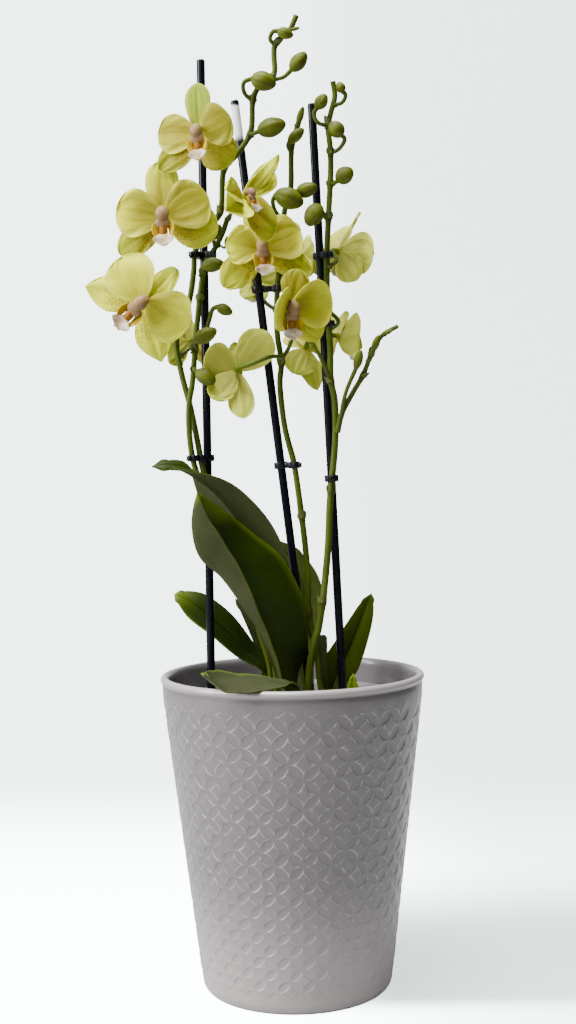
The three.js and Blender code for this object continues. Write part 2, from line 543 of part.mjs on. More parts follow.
// route: the stem, from the medium up. radii: the stem at its foot and tip. joints: heights of
// its thickened nodes. flowers: the points of each flower's pedicel, up to its last bend. buds:
// the points of each pedicel, the bud's far end and its radius.
const SPIKES = {
  spike_tall_left: {
    radii: [1.6, 1.1], joints: [442, 466, 485, 504, 515, 534],
    route: [[-12, 15, 130], [-12, 15, 160], [-13, 14, 183], [-17, 14, 197], [-21, 13, 212],
      [-27, 12, 232], [-35, 11, 256], [-44, 9, 279], [-49, 8, 296], [-52, 9, 313], [-56, 10, 334],
      [-60, 10, 350], [-63, 10, 370], [-59, 9, 383], [-55, 9, 393], [-52, 8, 410], [-51, 8, 421],
      [-46, 6, 428], [-41, 4, 435], [-36, 2, 442], [-33, -1, 466], [-27, -3, 472], [-18, -3, 485],
      [-16, -4, 504], [-13, -4, 510], [-6, -4, 515], [-4, -5, 517], [-3, -5, 534], [5, -6, 541],
      [9, -6, 549]],
    flowers: {
      flower_01: [[-33, -1, 466], [-38, -3, 470]],
      flower_02: [[-45, 6, 428], [-54, 1, 431]],
      flower_03: [[-60, 9, 378], [-68, 4, 382]],
      flower_12: [[-62, 10, 362], [-60, 14, 363]],
    },
    buds: [
      { stalk: [[-16, -4, 502], [-21, -6, 507], [-21, -8, 512], [-16, -9, 514]], end: [-3, -10, 510], radius: 5 },
      { stalk: [[-19, -3, 484], [-16, -6, 484], [-13, -8, 485]], end: [2, -9, 489], radius: 5 },
      { stalk: [[-6, -4, 514], [1, -6, 515], [6, -7, 519]], end: [14, -8, 528], radius: 4 },
      { stalk: [[-3, -5, 533], [-6, -7, 536], [-4, -8, 540], [-1, -8, 540]], end: [7, -9, 537], radius: 3 },
      { stalk: [[4, -6, 540], [6, -7, 541]], end: [11, -7, 542], radius: 1 },
    ],
  },
  spike_second_left: {
    radii: [1.6, 1.1], joints: [365, 393],
    route: [[-9, 10, 130], [-9, 10, 160], [-10, 10, 183], [-14, 9, 196], [-18, 8, 212],
      [-23, 6, 232], [-32, 4, 256], [-44, 3, 279], [-53, 7, 296], [-56, 6, 313], [-56, 4, 334],
      [-54, 4, 345], [-52, 5, 365], [-49, 6, 393], [-47, 7, 407], [-45, 8, 415], [-40, 8, 422],
      [-35, 6, 431], [-32, 4, 439]],
    flowers: { flower_04: [[-32, 4, 438], [-30, -2, 440]] },
    buds: [
      { stalk: [[-38, 7, 425], [-40, 2, 425], [-40, -2, 427]], end: [-36, -5, 434], radius: 2.8 },
      { stalk: [[-38, 7, 425], [-34, 4, 422], [-33, 1, 424]], end: [-32, -1, 428], radius: 1.2 },
      { stalk: [[-47, 7, 407], [-48, 2, 409], [-46, -3, 411]], end: [-34, -6, 412], radius: 3.8 },
      { stalk: [[-52, 5, 363], [-54, 0, 366], [-51, -5, 369]], end: [-39, -7, 375], radius: 4 },
      { stalk: [[-53, 4, 354], [-52, -5, 353], [-50, -11, 351]], end: [-40, -14, 345], radius: 4.2 },
      { stalk: [[-51, 5, 370], [-46, 1, 374], [-43, -2, 381], [-41, -3, 387], [-38, -4, 388]],
        end: [-30, -5, 384], radius: 3 },
    ],
  },
  spike_middle: {
    radii: [1.7, 1.1], joints: [213, 269, 357, 414, 449],
    route: [[20, 7, 130], [18, 8, 160], [16, 9, 172], [15, 9, 185], [13, 8, 195], [10, 7, 213],
      [10, 7, 232], [9, 8, 249], [7, 8, 269], [3, 8, 300], [0, 8, 312], [-2, 8, 322], [-4, 8, 345],
      [-3, 9, 357], [-5, 9, 373], [-5, 9, 391], [-3, 8, 414], [0, 6, 440], [2, 4, 449],
      [4, 3, 454], [5, 2, 476], [7, 2, 484], [11, 1, 497]],
    flowers: {
      flower_05: [[-3, 8, 410], [-6, 2, 414]],
      flower_06: [[-3, 9, 359], [1, 3, 364], [4, -3, 374]],
      flower_07: [[-4, 8, 356], [-2, 0, 359], [-9, -9, 359], [-20, -11, 355]],
      flower_11: [[-4, 9, 405], [0, 18, 411]],
      flower_13: [[-5, 9, 386], [-6, 17, 388], [-12, 20, 393]],
    },
    buds: [
      { stalk: [[-1, 6, 438], [-5, 0, 442], [-6, -5, 447], [-4, -7, 450]], end: [11, -9, 444], radius: 5.5 },
      { stalk: [[3, 4, 452], [5, -1, 453], [8, -4, 451]], end: [19, -7, 454], radius: 4 },
      { stalk: [[5, 2, 474], [3, -1, 478], [4, -2, 480]], end: [12, -3, 487], radius: 3 },
      { stalk: [[8, 2, 488], [9, 1, 491]], end: [12, 0, 500], radius: 1.8 },
    ],
  },
  spike_right: {
    radii: [1.9, 1.1], joints: [220, 283, 346, 438, 458, 475, 490],
    route: [[9, -6, 130], [9, -6, 160], [9, -6, 175], [13, -6, 198], [15, -5, 204], [18, -3, 220],
      [20, 0, 235], [22, 2, 254], [23, 3, 273], [24, 4, 283], [27, 4, 312], [27, 4, 335],
      [25, 4, 346], [25, 4, 363], [24, 4, 386], [24, 4, 417], [25, 4, 434], [27, 4, 465],
      [27, 3, 476], [26, 2, 490], [28, 2, 498], [30, 2, 506], [29, 1, 514]],
    flowers: {
      flower_08: [[25, 4, 346], [19, -4, 359], [13, -3, 369]],
      flower_09: [[24, 4, 410], [29, 4, 413]],
      flower_10: [[24, 4, 386], [30, 8, 380]],
    },
    buds: [
      { stalk: [[25, 4, 438], [22, -2, 440], [20, -6, 443]], end: [13, -9, 432], radius: 5 },
      { stalk: [[27, 4, 457], [29, 1, 457], [31, -1, 458]], end: [39, -3, 464], radius: 4.6 },
      { stalk: [[27, 3, 474], [32, 0, 476], [35, -2, 481], [33, -3, 483]], end: [27, -4, 490], radius: 4.2 },
      { stalk: [[26, 2, 489], [20, 0, 491], [18, 0, 496], [20, -1, 499]], end: [25, -2, 506], radius: 3.4 },
      { stalk: [[29, 2, 501], [34, 1, 502], [36, 0, 506], [34, -1, 508]], end: [32, -1, 513], radius: 2.6 },
    ],
  },
  spike_side_branch: {
    radii: [1.4, 0.8], joints: [348, 360],
    route: [[28.2, 1, 316], [31, 0, 327], [37, -1, 338], [43, -3, 348], [48, -5, 360], [54, -6, 370],
      [63, -8, 375]],
    flowers: {},
    buds: [
      { stalk: [[30, 0, 324], [33, -4, 338], [39, -7, 352]], end: [42, -8, 362], radius: 2.4 },
      { stalk: [[46, -4, 356], [49, -8, 362]], end: [52, -10, 370], radius: 2 },
      { stalk: [[54, -6, 370], [56, -8, 371]], end: [60, -10, 373], radius: 1.2 },
    ],
  },
};

// A stem alone, with its thickened joints.
function stem({ route, radii, joints }, extra = 0) {
  const row = route.map(vector);
  row[0].z -= extra;
  const swollen = (t) => joints.some((z) => Math.abs(row[Math.round(t * (row.length - 1))].z - z) < 3);
  const radius = (t) => THREE.MathUtils.lerp(radii[0], radii[1], t) + (swollen(t) ? JOINT_SWELL : 0);
  return bar(row, (t) => radius(t) + extra, 5);
}

function stalk(points, radius, sides) {
  return bar(smooth(points).getSpacedPoints(points.length + 1), () => radius, sides);
}

function spikeSolid(spike) {
  const pedicels = Object.entries(spike.flowers).map(([name, points]) =>
    stalk([...points, behind(name, 9), behind(name, HUB_BACK + GAP)], PEDICEL_R, 4));
  const buds = spike.buds.flatMap(({ stalk: points, end, radius }) =>
    [stalk(points, Math.min(PEDICEL_R, radius * 0.6), 3), egg(points.at(-1), end, radius)]);
  return fuse([stem(spike), ...pedicels, ...buds]);
}

// ---------------------------------------------------------------- crowns

const CROWNS = {
  crown_left: { foot: [-6, 0, 125], top: [-6, 0, 160], radius: 4.5 },
  crown_right: { foot: [25, 0, 125], top: [25, 0, 158], radius: 4 },
};

const crown = ({ foot, top, radius }, extra = 0) =>
  bar([vector(foot).setZ(foot[2] - extra), vector(top)], () => radius + extra, 8);

// ---------------------------------------------------------------- clips

const CLIPS = {
  clip_left_low: ['left', 303, ['spike_tall_left', 'spike_second_left']],
  clip_left_high: ['left', 419, ['spike_tall_left', 'spike_second_left']],
  clip_middle_low: ['middle', 298, ['spike_middle']],
  clip_middle_high: ['middle', 399, ['spike_middle']],
  clip_right_low: ['right', 290, ['spike_right']],
  clip_right_high: ['right', 417, ['spike_right']],
  clip_right_knot: ['right', 378, ['spike_right']],
};

// ---------------------------------------------------------------- the whole plant

const standing = [
  ...Object.values(STAKES).map((place) => stake(place, GAP)),
  ...Object.values(LEAVES).map((spec) => leaf(spec, 1.5 * GAP)),
  ...Object.values(SPIKES).map((spike) => stem(spike, GAP)),
  ...Object.values(CROWNS).map((spec) => crown(spec, GAP)),
];

add('outer_pot', outerPot(), GLAZE);
add('grow_pot', growPot(), GREY_PLASTIC);
add('bark_medium', medium(standing), BARK);
for (const [name, spec] of Object.entries(CROWNS)) add(name, crown(spec), LEAF);
for (const [name, spec] of Object.entries(LEAVES)) add(name, leaf(spec), LEAF);
for (const [name, spike] of Object.entries(SPIKES)) add(name, spikeSolid(spike), STEM);
for (const [name, place] of Object.entries(STAKES)) add(`stake_${name}`, stake(place), BLACK_PLASTIC);
for (const [name, [side, height, spikes]] of Object.entries(CLIPS)) {
  add(name, clip(STAKES[side], height, spikes.map((spike) => SPIKES[spike])), BLACK_PLASTIC);
}
for (const [name, flower] of Object.entries(FLOWERS)) {
  const frame = flowerFrame(flower);
  add(`${name}_tepals`, placed(tepals(flower), frame), TEPAL);
  add(`${name}_lip`, placed(columnAndLip(flower.size), frame), LIP);
}

export default plant;
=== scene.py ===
"""A moth orchid in its glazed pot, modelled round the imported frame.

The plant has four flowering spikes, one of them with a side branch, clipped to three stakes. It has
thirteen open flowers, buds, nine leaves on two crowns, and a grow pot of bark inside a tapered pot
with a raised diamond pattern. Places and sizes are in millimetres, as [across, depth, height] from
the middle of the pot's foot, with the front at -Y. The camera, the lights and Blender's own values
are in metres.
"""

import math
import random

import bpy
import numpy as np
from mathutils import Matrix, Vector


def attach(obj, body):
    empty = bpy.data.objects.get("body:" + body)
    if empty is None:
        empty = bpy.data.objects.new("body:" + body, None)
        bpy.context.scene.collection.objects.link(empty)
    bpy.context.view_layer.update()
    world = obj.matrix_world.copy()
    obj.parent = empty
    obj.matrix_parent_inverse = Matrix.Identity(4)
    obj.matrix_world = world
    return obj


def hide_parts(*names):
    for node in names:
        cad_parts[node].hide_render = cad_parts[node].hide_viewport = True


bl_info = {
    "name": "Potted Moth Orchid",
    "version": (1, 0, 0),
    "blender": (4, 5, 0),
    "location": "View3D > Sidebar > Orchid",
    "description": "Models a moth orchid in a glazed pot round its packed frame",
    "category": "Add Mesh",
}

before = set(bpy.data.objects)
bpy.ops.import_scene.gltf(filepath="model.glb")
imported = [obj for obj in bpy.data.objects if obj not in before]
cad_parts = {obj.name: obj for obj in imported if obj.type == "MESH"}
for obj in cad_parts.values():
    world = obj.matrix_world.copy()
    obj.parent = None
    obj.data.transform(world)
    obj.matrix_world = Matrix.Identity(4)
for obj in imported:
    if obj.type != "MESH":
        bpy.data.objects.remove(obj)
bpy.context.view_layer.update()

MM = 0.001
# The span of a random turn, in radians.
FULL_TURN = 6.28

# ---------------------------------------------------------------- where things stand

# The leaves: the rib from the bark to the tip, then the near and the far edge.
LEAVES = {
    "leaf_back_tall": (
        [[3, 6, 145], [-5, 3, 192], [-13, 2, 227], [-22.5, -4, 253], [-31.5, -9, 271], [-44, -13, 286],
            [-56.5, -17, 295.5], [-66, -20, 299], [-76, -22, 298.5]],
        [[9, 4, 145], [3, 1, 198.5], [0.5, -2, 236], [-7, -6, 259], [-20, -11, 278],
            [-36, -16, 290.5], [-54, -21, 295.6], [-66, -23, 296.6], [-76, -22, 298.5]],
        [[-3, 8, 145], [-12.5, 4, 186], [-26.5, 5, 218], [-39, 1, 244.5], [-46.5, -2, 265],
            [-52, -7, 284], [-57.5, -11, 300.2], [-67, -16, 302], [-76, -22, 298.5]],
    ),
    "leaf_front_tall": (
        [[-1, -9, 145], [-7.5, -12, 182], [-14.5, -13, 200], [-25.5, -15, 218], [-38, -18, 236.5],
            [-49.5, -22, 248.5], [-53, -27, 265.5], [-50, -33, 284]],
        [[0, -15, 145], [-6.5, -22, 182.5], [-11, -23, 198.5], [-18, -25, 217.5], [-26, -28, 238],
            [-36.5, -31, 257], [-45.5, -33, 272], [-50, -33, 284]],
        [[5, -7, 145], [2.5, -4, 176], [9, -4, 196], [7, -6, 221.5], [-5, -9, 246.5],
            [-19.5, -13, 259.5], [-33.5, -20, 271.5], [-50, -33, 284]],
    ),
    "leaf_left": (
        [[-8, 25, 145], [-9, 25, 158], [-14, 26, 178.5], [-27, 27, 189.5], [-41, 28, 203],
            [-53.5, 29, 214], [-63, 30, 220], [-69, 31, 223]],
        [[-8, 20, 145], [-9, 20, 158], [-17, 21, 177], [-32.5, 22, 186.5], [-47.5, 23, 199.5],
            [-59.5, 25, 208.5], [-66.5, 27, 218], [-69, 31, 223]],
        [[-8, 30, 145], [-9, 30, 158], [-10.5, 31, 179.5], [-21, 32, 191.5], [-35, 33, 210],
            [-51, 34, 222.5], [-63, 33, 224.5], [-69, 31, 223]],
    ),
    "leaf_low_front": (
        [[6, -20, 145], [2, -32, 176], [-7, -50, 179], [-20, -60, 181], [-33, -66, 183],
            [-42.5, -70, 185], [-47.5, -74, 189]],
        [[9, -25, 145], [2, -38, 178.5], [-5, -58, 184.5], [-18, -70, 188.5], [-32.5, -76, 190.5],
            [-42, -77, 191], [-47.5, -74, 189]],
        [[4, -16, 145], [-1.5, -26, 177], [-9.5, -38, 179], [-23, -47, 181], [-34.5, -55, 183.5],
            [-42.5, -64, 187.5], [-47.5, -74, 189]],
    ),
    "leaf_small_left": (
        [[-20, 37, 145], [-13, 38, 178], [-20, 40, 196], [-26, 41, 209.5], [-33.5, 42, 219]],
        [[-25, 35, 145], [-18, 36, 178.5], [-24.5, 38, 197.5], [-30.5, 40, 212], [-33.5, 42, 219]],
        [[-15, 35, 145], [-9, 36, 180.5], [-15, 38, 197], [-22, 40, 210], [-33.5, 42, 219]],
    ),
    "leaf_back_right": (
        [[8, 27, 145], [6.5, 27, 180.5], [8, 28, 206.5], [5.5, 29, 227.5], [-2, 31, 244.5],
            [-13, 33, 256.5]],
        [[2, 24, 145], [0, 24, 181], [-2.5, 24, 207.5], [-6.5, 25, 225], [-12, 28, 242.5],
            [-13, 33, 256.5]],
        [[14, 24, 145], [12.5, 24, 183.5], [17, 24, 211.5], [17.5, 25, 229], [7.5, 28, 245],
            [-13, 33, 256.5]],
    ),
    "leaf_right": (
        [[27, 25, 145], [23, 25, 165.5], [28.5, 25.5, 178.5], [34, 26, 190], [40.5, 27, 205],
            [44.5, 28, 215.5], [47.5, 28, 222]],
        [[20, 22, 145], [15.5, 22, 165], [17.5, 22, 182], [25.5, 23, 194.5], [35, 24.5, 208.5],
            [41, 26, 216.5], [47.5, 28, 222]],
        [[34, 22, 145], [32, 22, 166], [39, 22, 178.5], [44, 23, 192], [48, 24.5, 207.5],
            [48.5, 26, 216], [47.5, 28, 222]],
    ),
    "leaf_young_blunt": (
        [[19, 15, 145], [17.5, 16, 180], [18, 17, 190], [18.5, 17.5, 196], [18.5, 18, 199]],
        [[16, 14, 145], [14.5, 15, 180], [15, 16, 190.5], [15.5, 17, 196], [17, 18, 199]],
        [[22, 14, 145], [20, 15, 180], [20.5, 16, 190], [20.5, 17, 196], [19.5, 18, 199]],
    ),
    "leaf_yellow_tip": (
        [[37, 3, 145], [34.5, 3, 168.5], [34.5, 3, 174], [35, 3, 178]],
        [[33, 2, 145], [31, 2, 169], [32.5, 2, 174], [35, 3, 178]],
        [[41, 2, 145], [38.5, 2, 168.5], [36.5, 2, 174], [35, 3, 178]],
    ),
}

# Where each flower's middle is, how far it is turned to its left, tipped up and leaned over, its size
# beside a full one, how far its top, left, right, lower left and lower right tepals are lifted
# forward, and how far round from the top its petals and its lower sepals point. Turns are in degrees.
FLOWER_KEYS = ("at", "yaw", "pitch", "roll", "size", "lifts", "petals_at", "sepals_at")
FLOWER_ROWS = {
    "flower_01": ([-45, -24, 480], -14, 0, -6, 0.92, [0, 5, 22, 10, 0], 70, 122),
    "flower_02": ([-66, -20, 436], -4, 0, -4, 1, [0, 12, 4, 4, 4], 70, 122),
    "flower_03": ([-78, -22, 389], -12, -10, 48, 1.05, [5, 6, 4, 0, 6], 70, 122),
    "flower_04": ([-22, -41, 442], 50, 18, -14, 0.9, [30, 45, 20, 40, 10], 70, 122),
    "flower_05": ([-13, -16, 418], 6, 2, -4, 0.92, [-14, 10, 4, 8, 4], 70, 122),
    "flower_06": ([2, -24, 385], 16, -14, 2, 0.95, [0, 55, 4, -30, -12], 70, 150),
    "flower_07": ([-28, 1, 352], 184, -8, -8, 0.92, [40, 8, -30, 4, 4], 50, 150),
    "flower_08": ([11, 26, 366], 194, -24, 4, 0.8, [10, 55, 34, 48, 26], 70, 122),
    "flower_09": ([31, 20, 421], 158, 4, -27, 0.85, [30, 0, 60, 4, 40], 70, 140),
    "flower_10": ([31, 40, 374], 115, -4, 6, 0.8, [10, 6, 6, 6, 6], 70, 122),
    "flower_11": ([8, 36, 420], 120, 4, 0, 0.62, [10, 10, 10, 6, 6], 70, 122),
    "flower_12": ([-57, 30, 372], 236, -10, 0, 0.8, [10, 20, 20, 10, 10], 70, 122),
    "flower_13": ([-19, 28, 407], 180, -6, 0, 0.7, [6, 6, 6, 4, 4], 70, 122),
}
FLOWERS = {name: dict(zip(FLOWER_KEYS, row)) for name, row in FLOWER_ROWS.items()}

# The stems: their radius at the foot and at the tip, the heights of their joints, their way up from the
# bark, the stalks of their flowers, and their buds, each as its stalk, its tip and its radius.
SPIKES = {
    "spike_tall_left": {
        "radii": [1.6, 1.1], "joints": [442, 466, 485, 504, 515, 534],
        "route": [[-12, 15, 130], [-12, 15, 160], [-13, 14, 183], [-17, 14, 197], [-21, 13, 212],
            [-27, 12, 232], [-35, 11, 256], [-44, 9, 279], [-49, 8, 296], [-52, 9, 313], [-56, 10, 334],
            [-60, 10, 350], [-63, 10, 370], [-59, 9, 383], [-55, 9, 393], [-52, 8, 410], [-51, 8, 421],
            [-46, 6, 428], [-41, 4, 435], [-36, 2, 442], [-33, -1, 466], [-27, -3, 472], [-18, -3, 485],
            [-16, -4, 504], [-13, -4, 510], [-6, -4, 515], [-4, -5, 517], [-3, -5, 534], [5, -6, 541],
            [9, -6, 549]],
        "flowers": {
            "flower_01": [[-33, -1, 466], [-38, -3, 470]],
            "flower_02": [[-45, 6, 428], [-54, 1, 431]],
            "flower_03": [[-60, 9, 378], [-68, 4, 382]],
            "flower_12": [[-62, 10, 362], [-60, 14, 363]],
        },
        "buds": [
            ([[-16, -4, 502], [-21, -6, 507], [-21, -8, 512], [-16, -9, 514]], [-3, -10, 510], 5),
            ([[-19, -3, 484], [-16, -6, 484], [-13, -8, 485]], [2, -9, 489], 5),
            ([[-6, -4, 514], [1, -6, 515], [6, -7, 519]], [14, -8, 528], 4),
            ([[-3, -5, 533], [-6, -7, 536], [-4, -8, 540], [-1, -8, 540]], [7, -9, 537], 3),
            ([[4, -6, 540], [6, -7, 541]], [11, -7, 542], 1),
        ],
    },
    "spike_second_left": {
        "radii": [1.6, 1.1], "joints": [365, 393],
        "route": [[-9, 10, 130], [-9, 10, 160], [-10, 10, 183], [-14, 9, 196], [-18, 8, 212],
            [-23, 6, 232], [-32, 4, 256], [-44, 3, 279], [-53, 7, 296], [-56, 6, 313], [-56, 4, 334],
            [-54, 4, 345], [-52, 5, 365], [-49, 6, 393], [-47, 7, 407], [-45, 8, 415], [-40, 8, 422],
            [-35, 6, 431], [-32, 4, 439]],
        "flowers": { "flower_04": [[-32, 4, 438], [-30, -2, 440]] },
        "buds": [
            ([[-38, 7, 425], [-40, 2, 425], [-40, -2, 427]], [-36, -5, 434], 2.8),
            ([[-38, 7, 425], [-34, 4, 422], [-33, 1, 424]], [-32, -1, 428], 1.2),
            ([[-47, 7, 407], [-48, 2, 409], [-46, -3, 411]], [-34, -6, 412], 3.8),
            ([[-52, 5, 363], [-54, 0, 366], [-51, -5, 369]], [-39, -7, 375], 4),
            ([[-53, 4, 354], [-52, -5, 353], [-50, -11, 351]], [-40, -14, 345], 4.2),
            ([[-51, 5, 370], [-46, 1, 374], [-43, -2, 381], [-41, -3, 387], [-38, -4, 388]],
             [-30, -5, 384], 3),
        ],
    },
    "spike_middle": {
        "radii": [1.7, 1.1], "joints": [213, 269, 357, 414, 449],
        "route": [[20, 7, 130], [18, 8, 160], [16, 9, 172], [15, 9, 185], [13, 8, 195], [10, 7, 213],
            [10, 7, 232], [9, 8, 249], [7, 8, 269], [3, 8, 300], [0, 8, 312], [-2, 8, 322], [-4, 8, 345],
            [-3, 9, 357], [-5, 9, 373], [-5, 9, 391], [-3, 8, 414], [0, 6, 440], [2, 4, 449],
            [4, 3, 454], [5, 2, 476], [7, 2, 484], [11, 1, 497]],
        "flowers": {
            "flower_05": [[-3, 8, 410], [-6, 2, 414]],
            "flower_06": [[-3, 9, 359], [1, 3, 364], [4, -3, 374]],
            "flower_07": [[-4, 8, 356], [-2, 0, 359], [-9, -9, 359], [-20, -11, 355]],
            "flower_11": [[-4, 9, 405], [0, 18, 411]],
            "flower_13": [[-5, 9, 386], [-6, 17, 388], [-12, 20, 393]],
        },
        "buds": [
            ([[-1, 6, 438], [-5, 0, 442], [-6, -5, 447], [-4, -7, 450]], [11, -9, 444], 5.5),
            ([[3, 4, 452], [5, -1, 453], [8, -4, 451]], [19, -7, 454], 4),
            ([[5, 2, 474], [3, -1, 478], [4, -2, 480]], [12, -3, 487], 3),
            ([[8, 2, 488], [9, 1, 491]], [12, 0, 500], 1.8),
        ],
    },
    "spike_right": {
        "radii": [1.9, 1.1], "joints": [220, 283, 346, 438, 458, 475, 490],
        "route": [[9, -6, 130], [9, -6, 160], [9, -6, 175], [13, -6, 198], [15, -5, 204], [18, -3, 220],
            [20, 0, 235], [22, 2, 254], [23, 3, 273], [24, 4, 283], [27, 4, 312], [27, 4, 335],
            [25, 4, 346], [25, 4, 363], [24, 4, 386], [24, 4, 417], [25, 4, 434], [27, 4, 465],
            [27, 3, 476], [26, 2, 490], [28, 2, 498], [30, 2, 506], [29, 1, 514]],
        "flowers": {
            "flower_08": [[25, 4, 346], [19, -4, 359], [13, -3, 369]],
            "flower_09": [[24, 4, 410], [29, 4, 413]],
            "flower_10": [[24, 4, 386], [30, 8, 380]],
        },
        "buds": [
            ([[25, 4, 438], [22, -2, 440], [20, -6, 443]], [13, -9, 432], 5),
            ([[27, 4, 457], [29, 1, 457], [31, -1, 458]], [39, -3, 464], 4.6),
            ([[27, 3, 474], [32, 0, 476], [35, -2, 481], [33, -3, 483]], [27, -4, 490], 4.2),
            ([[26, 2, 489], [20, 0, 491], [18, 0, 496], [20, -1, 499]], [25, -2, 506], 3.4),
            ([[29, 2, 501], [34, 1, 502], [36, 0, 506], [34, -1, 508]], [32, -1, 513], 2.6),
        ],
    },
    "spike_side_branch": {
        "radii": [1.4, 0.8], "joints": [348, 360],
        "route": [[28.2, 1, 316], [31, 0, 327], [37, -1, 338], [43, -3, 348], [48, -5, 360], [54, -6, 370],
            [63, -8, 375]],
        "flowers": {},
        "buds": [
            ([[30, 0, 324], [33, -4, 338], [39, -7, 352]], [42, -8, 362], 2.4),
            ([[46, -4, 356], [49, -8, 362]], [52, -10, 370], 2),
            ([[54, -6, 370], [56, -8, 371]], [60, -10, 373], 1.2),
        ],
    },
}

# The stakes: the top, and the lowest place that shows. Each goes on down into the bark.
STAKES = {
    "left": { "top": [-46, 14, 531], "foot": [-47, 14, 179] },
    "middle": { "top": [-27, 12, 507], "foot": [10, 12, 167] },
    "right": { "top": [17, 10, 504], "foot": [29, 10, 168] },
}

# The short stems that the leaves and spikes grow from.
CROWNS = {
    "crown_left": { "foot": [-6, 0, 125], "top": [-6, 0, 160], "radius": 4.5 },
    "crown_right": { "foot": [25, 0, 125], "top": [25, 0, 158], "radius": 4 },
}

# The clips: the stake that each one holds, its height, and the stems that it ties to the stake.
CLIPS = {
    "clip_left_low": ["left", 303, ["spike_tall_left", "spike_second_left"]],
    "clip_left_high": ["left", 419, ["spike_tall_left", "spike_second_left"]],
    "clip_middle_low": ["middle", 298, ["spike_middle"]],
    "clip_middle_high": ["middle", 399, ["spike_middle"]],
    "clip_right_low": ["right", 290, ["spike_right"]],
    "clip_right_high": ["right", 417, ["spike_right"]],
    "clip_right_knot": ["right", 378, ["spike_right"]],
}

# How each leaf looks. flip turns its upper face away. tip is how far along the yellow green of the tip
# starts and how strong it is, and edges how strong it is along the near and the far edge. wash lays it
# over the whole leaf, glow over the far half near the tip, and base over the foot. round widens the tip.
# sag hangs the near edge down, crest raises the far edge and lift the whole leaf, in millimetres.
LEAF_LOOKS = {
    "leaf_back_tall": dict(flip=False, tip=(0.9, 0.3), edges=(0.15, 0.1), wash=0.06, round=0.6),
    "leaf_front_tall": dict(flip=False, tip=(0.86, 0.6), edges=(0.1, 0.4), wash=0.03, glow=0.35, round=0.0),
    "leaf_left": dict(flip=False, tip=(0.6, 0.6), edges=(0.6, 0.1), wash=0.0),
    # The low front leaf is flipped, so that the face the camera sees takes the lighter underside colour as a
    # painted sheen.
    "leaf_low_front": dict(flip=True, tip=(0.85, 1.0), edges=(0.05, 0.7), wash=0.0, sag=11.0, lift=1.4,
                           crest=3.2),
    "leaf_small_left": dict(flip=True, tip=(0.9, 0.4), edges=(0.05, 0.05), wash=0.06),
    "leaf_back_right": dict(flip=True, tip=(0.9, 0.2), edges=(0.2, 0.2), wash=0.28),
    "leaf_right": dict(flip=False, tip=(0.85, 0.4), edges=(0.05, 0.1), wash=0.24, base=0.1),
    "leaf_young_blunt": dict(flip=True, tip=(0.95, 0.2), edges=(0.1, 0.1), wash=0.1),
    "leaf_yellow_tip": dict(flip=False, tip=(0.0, 1.0), edges=(1.0, 1.0), wash=0.8),
}
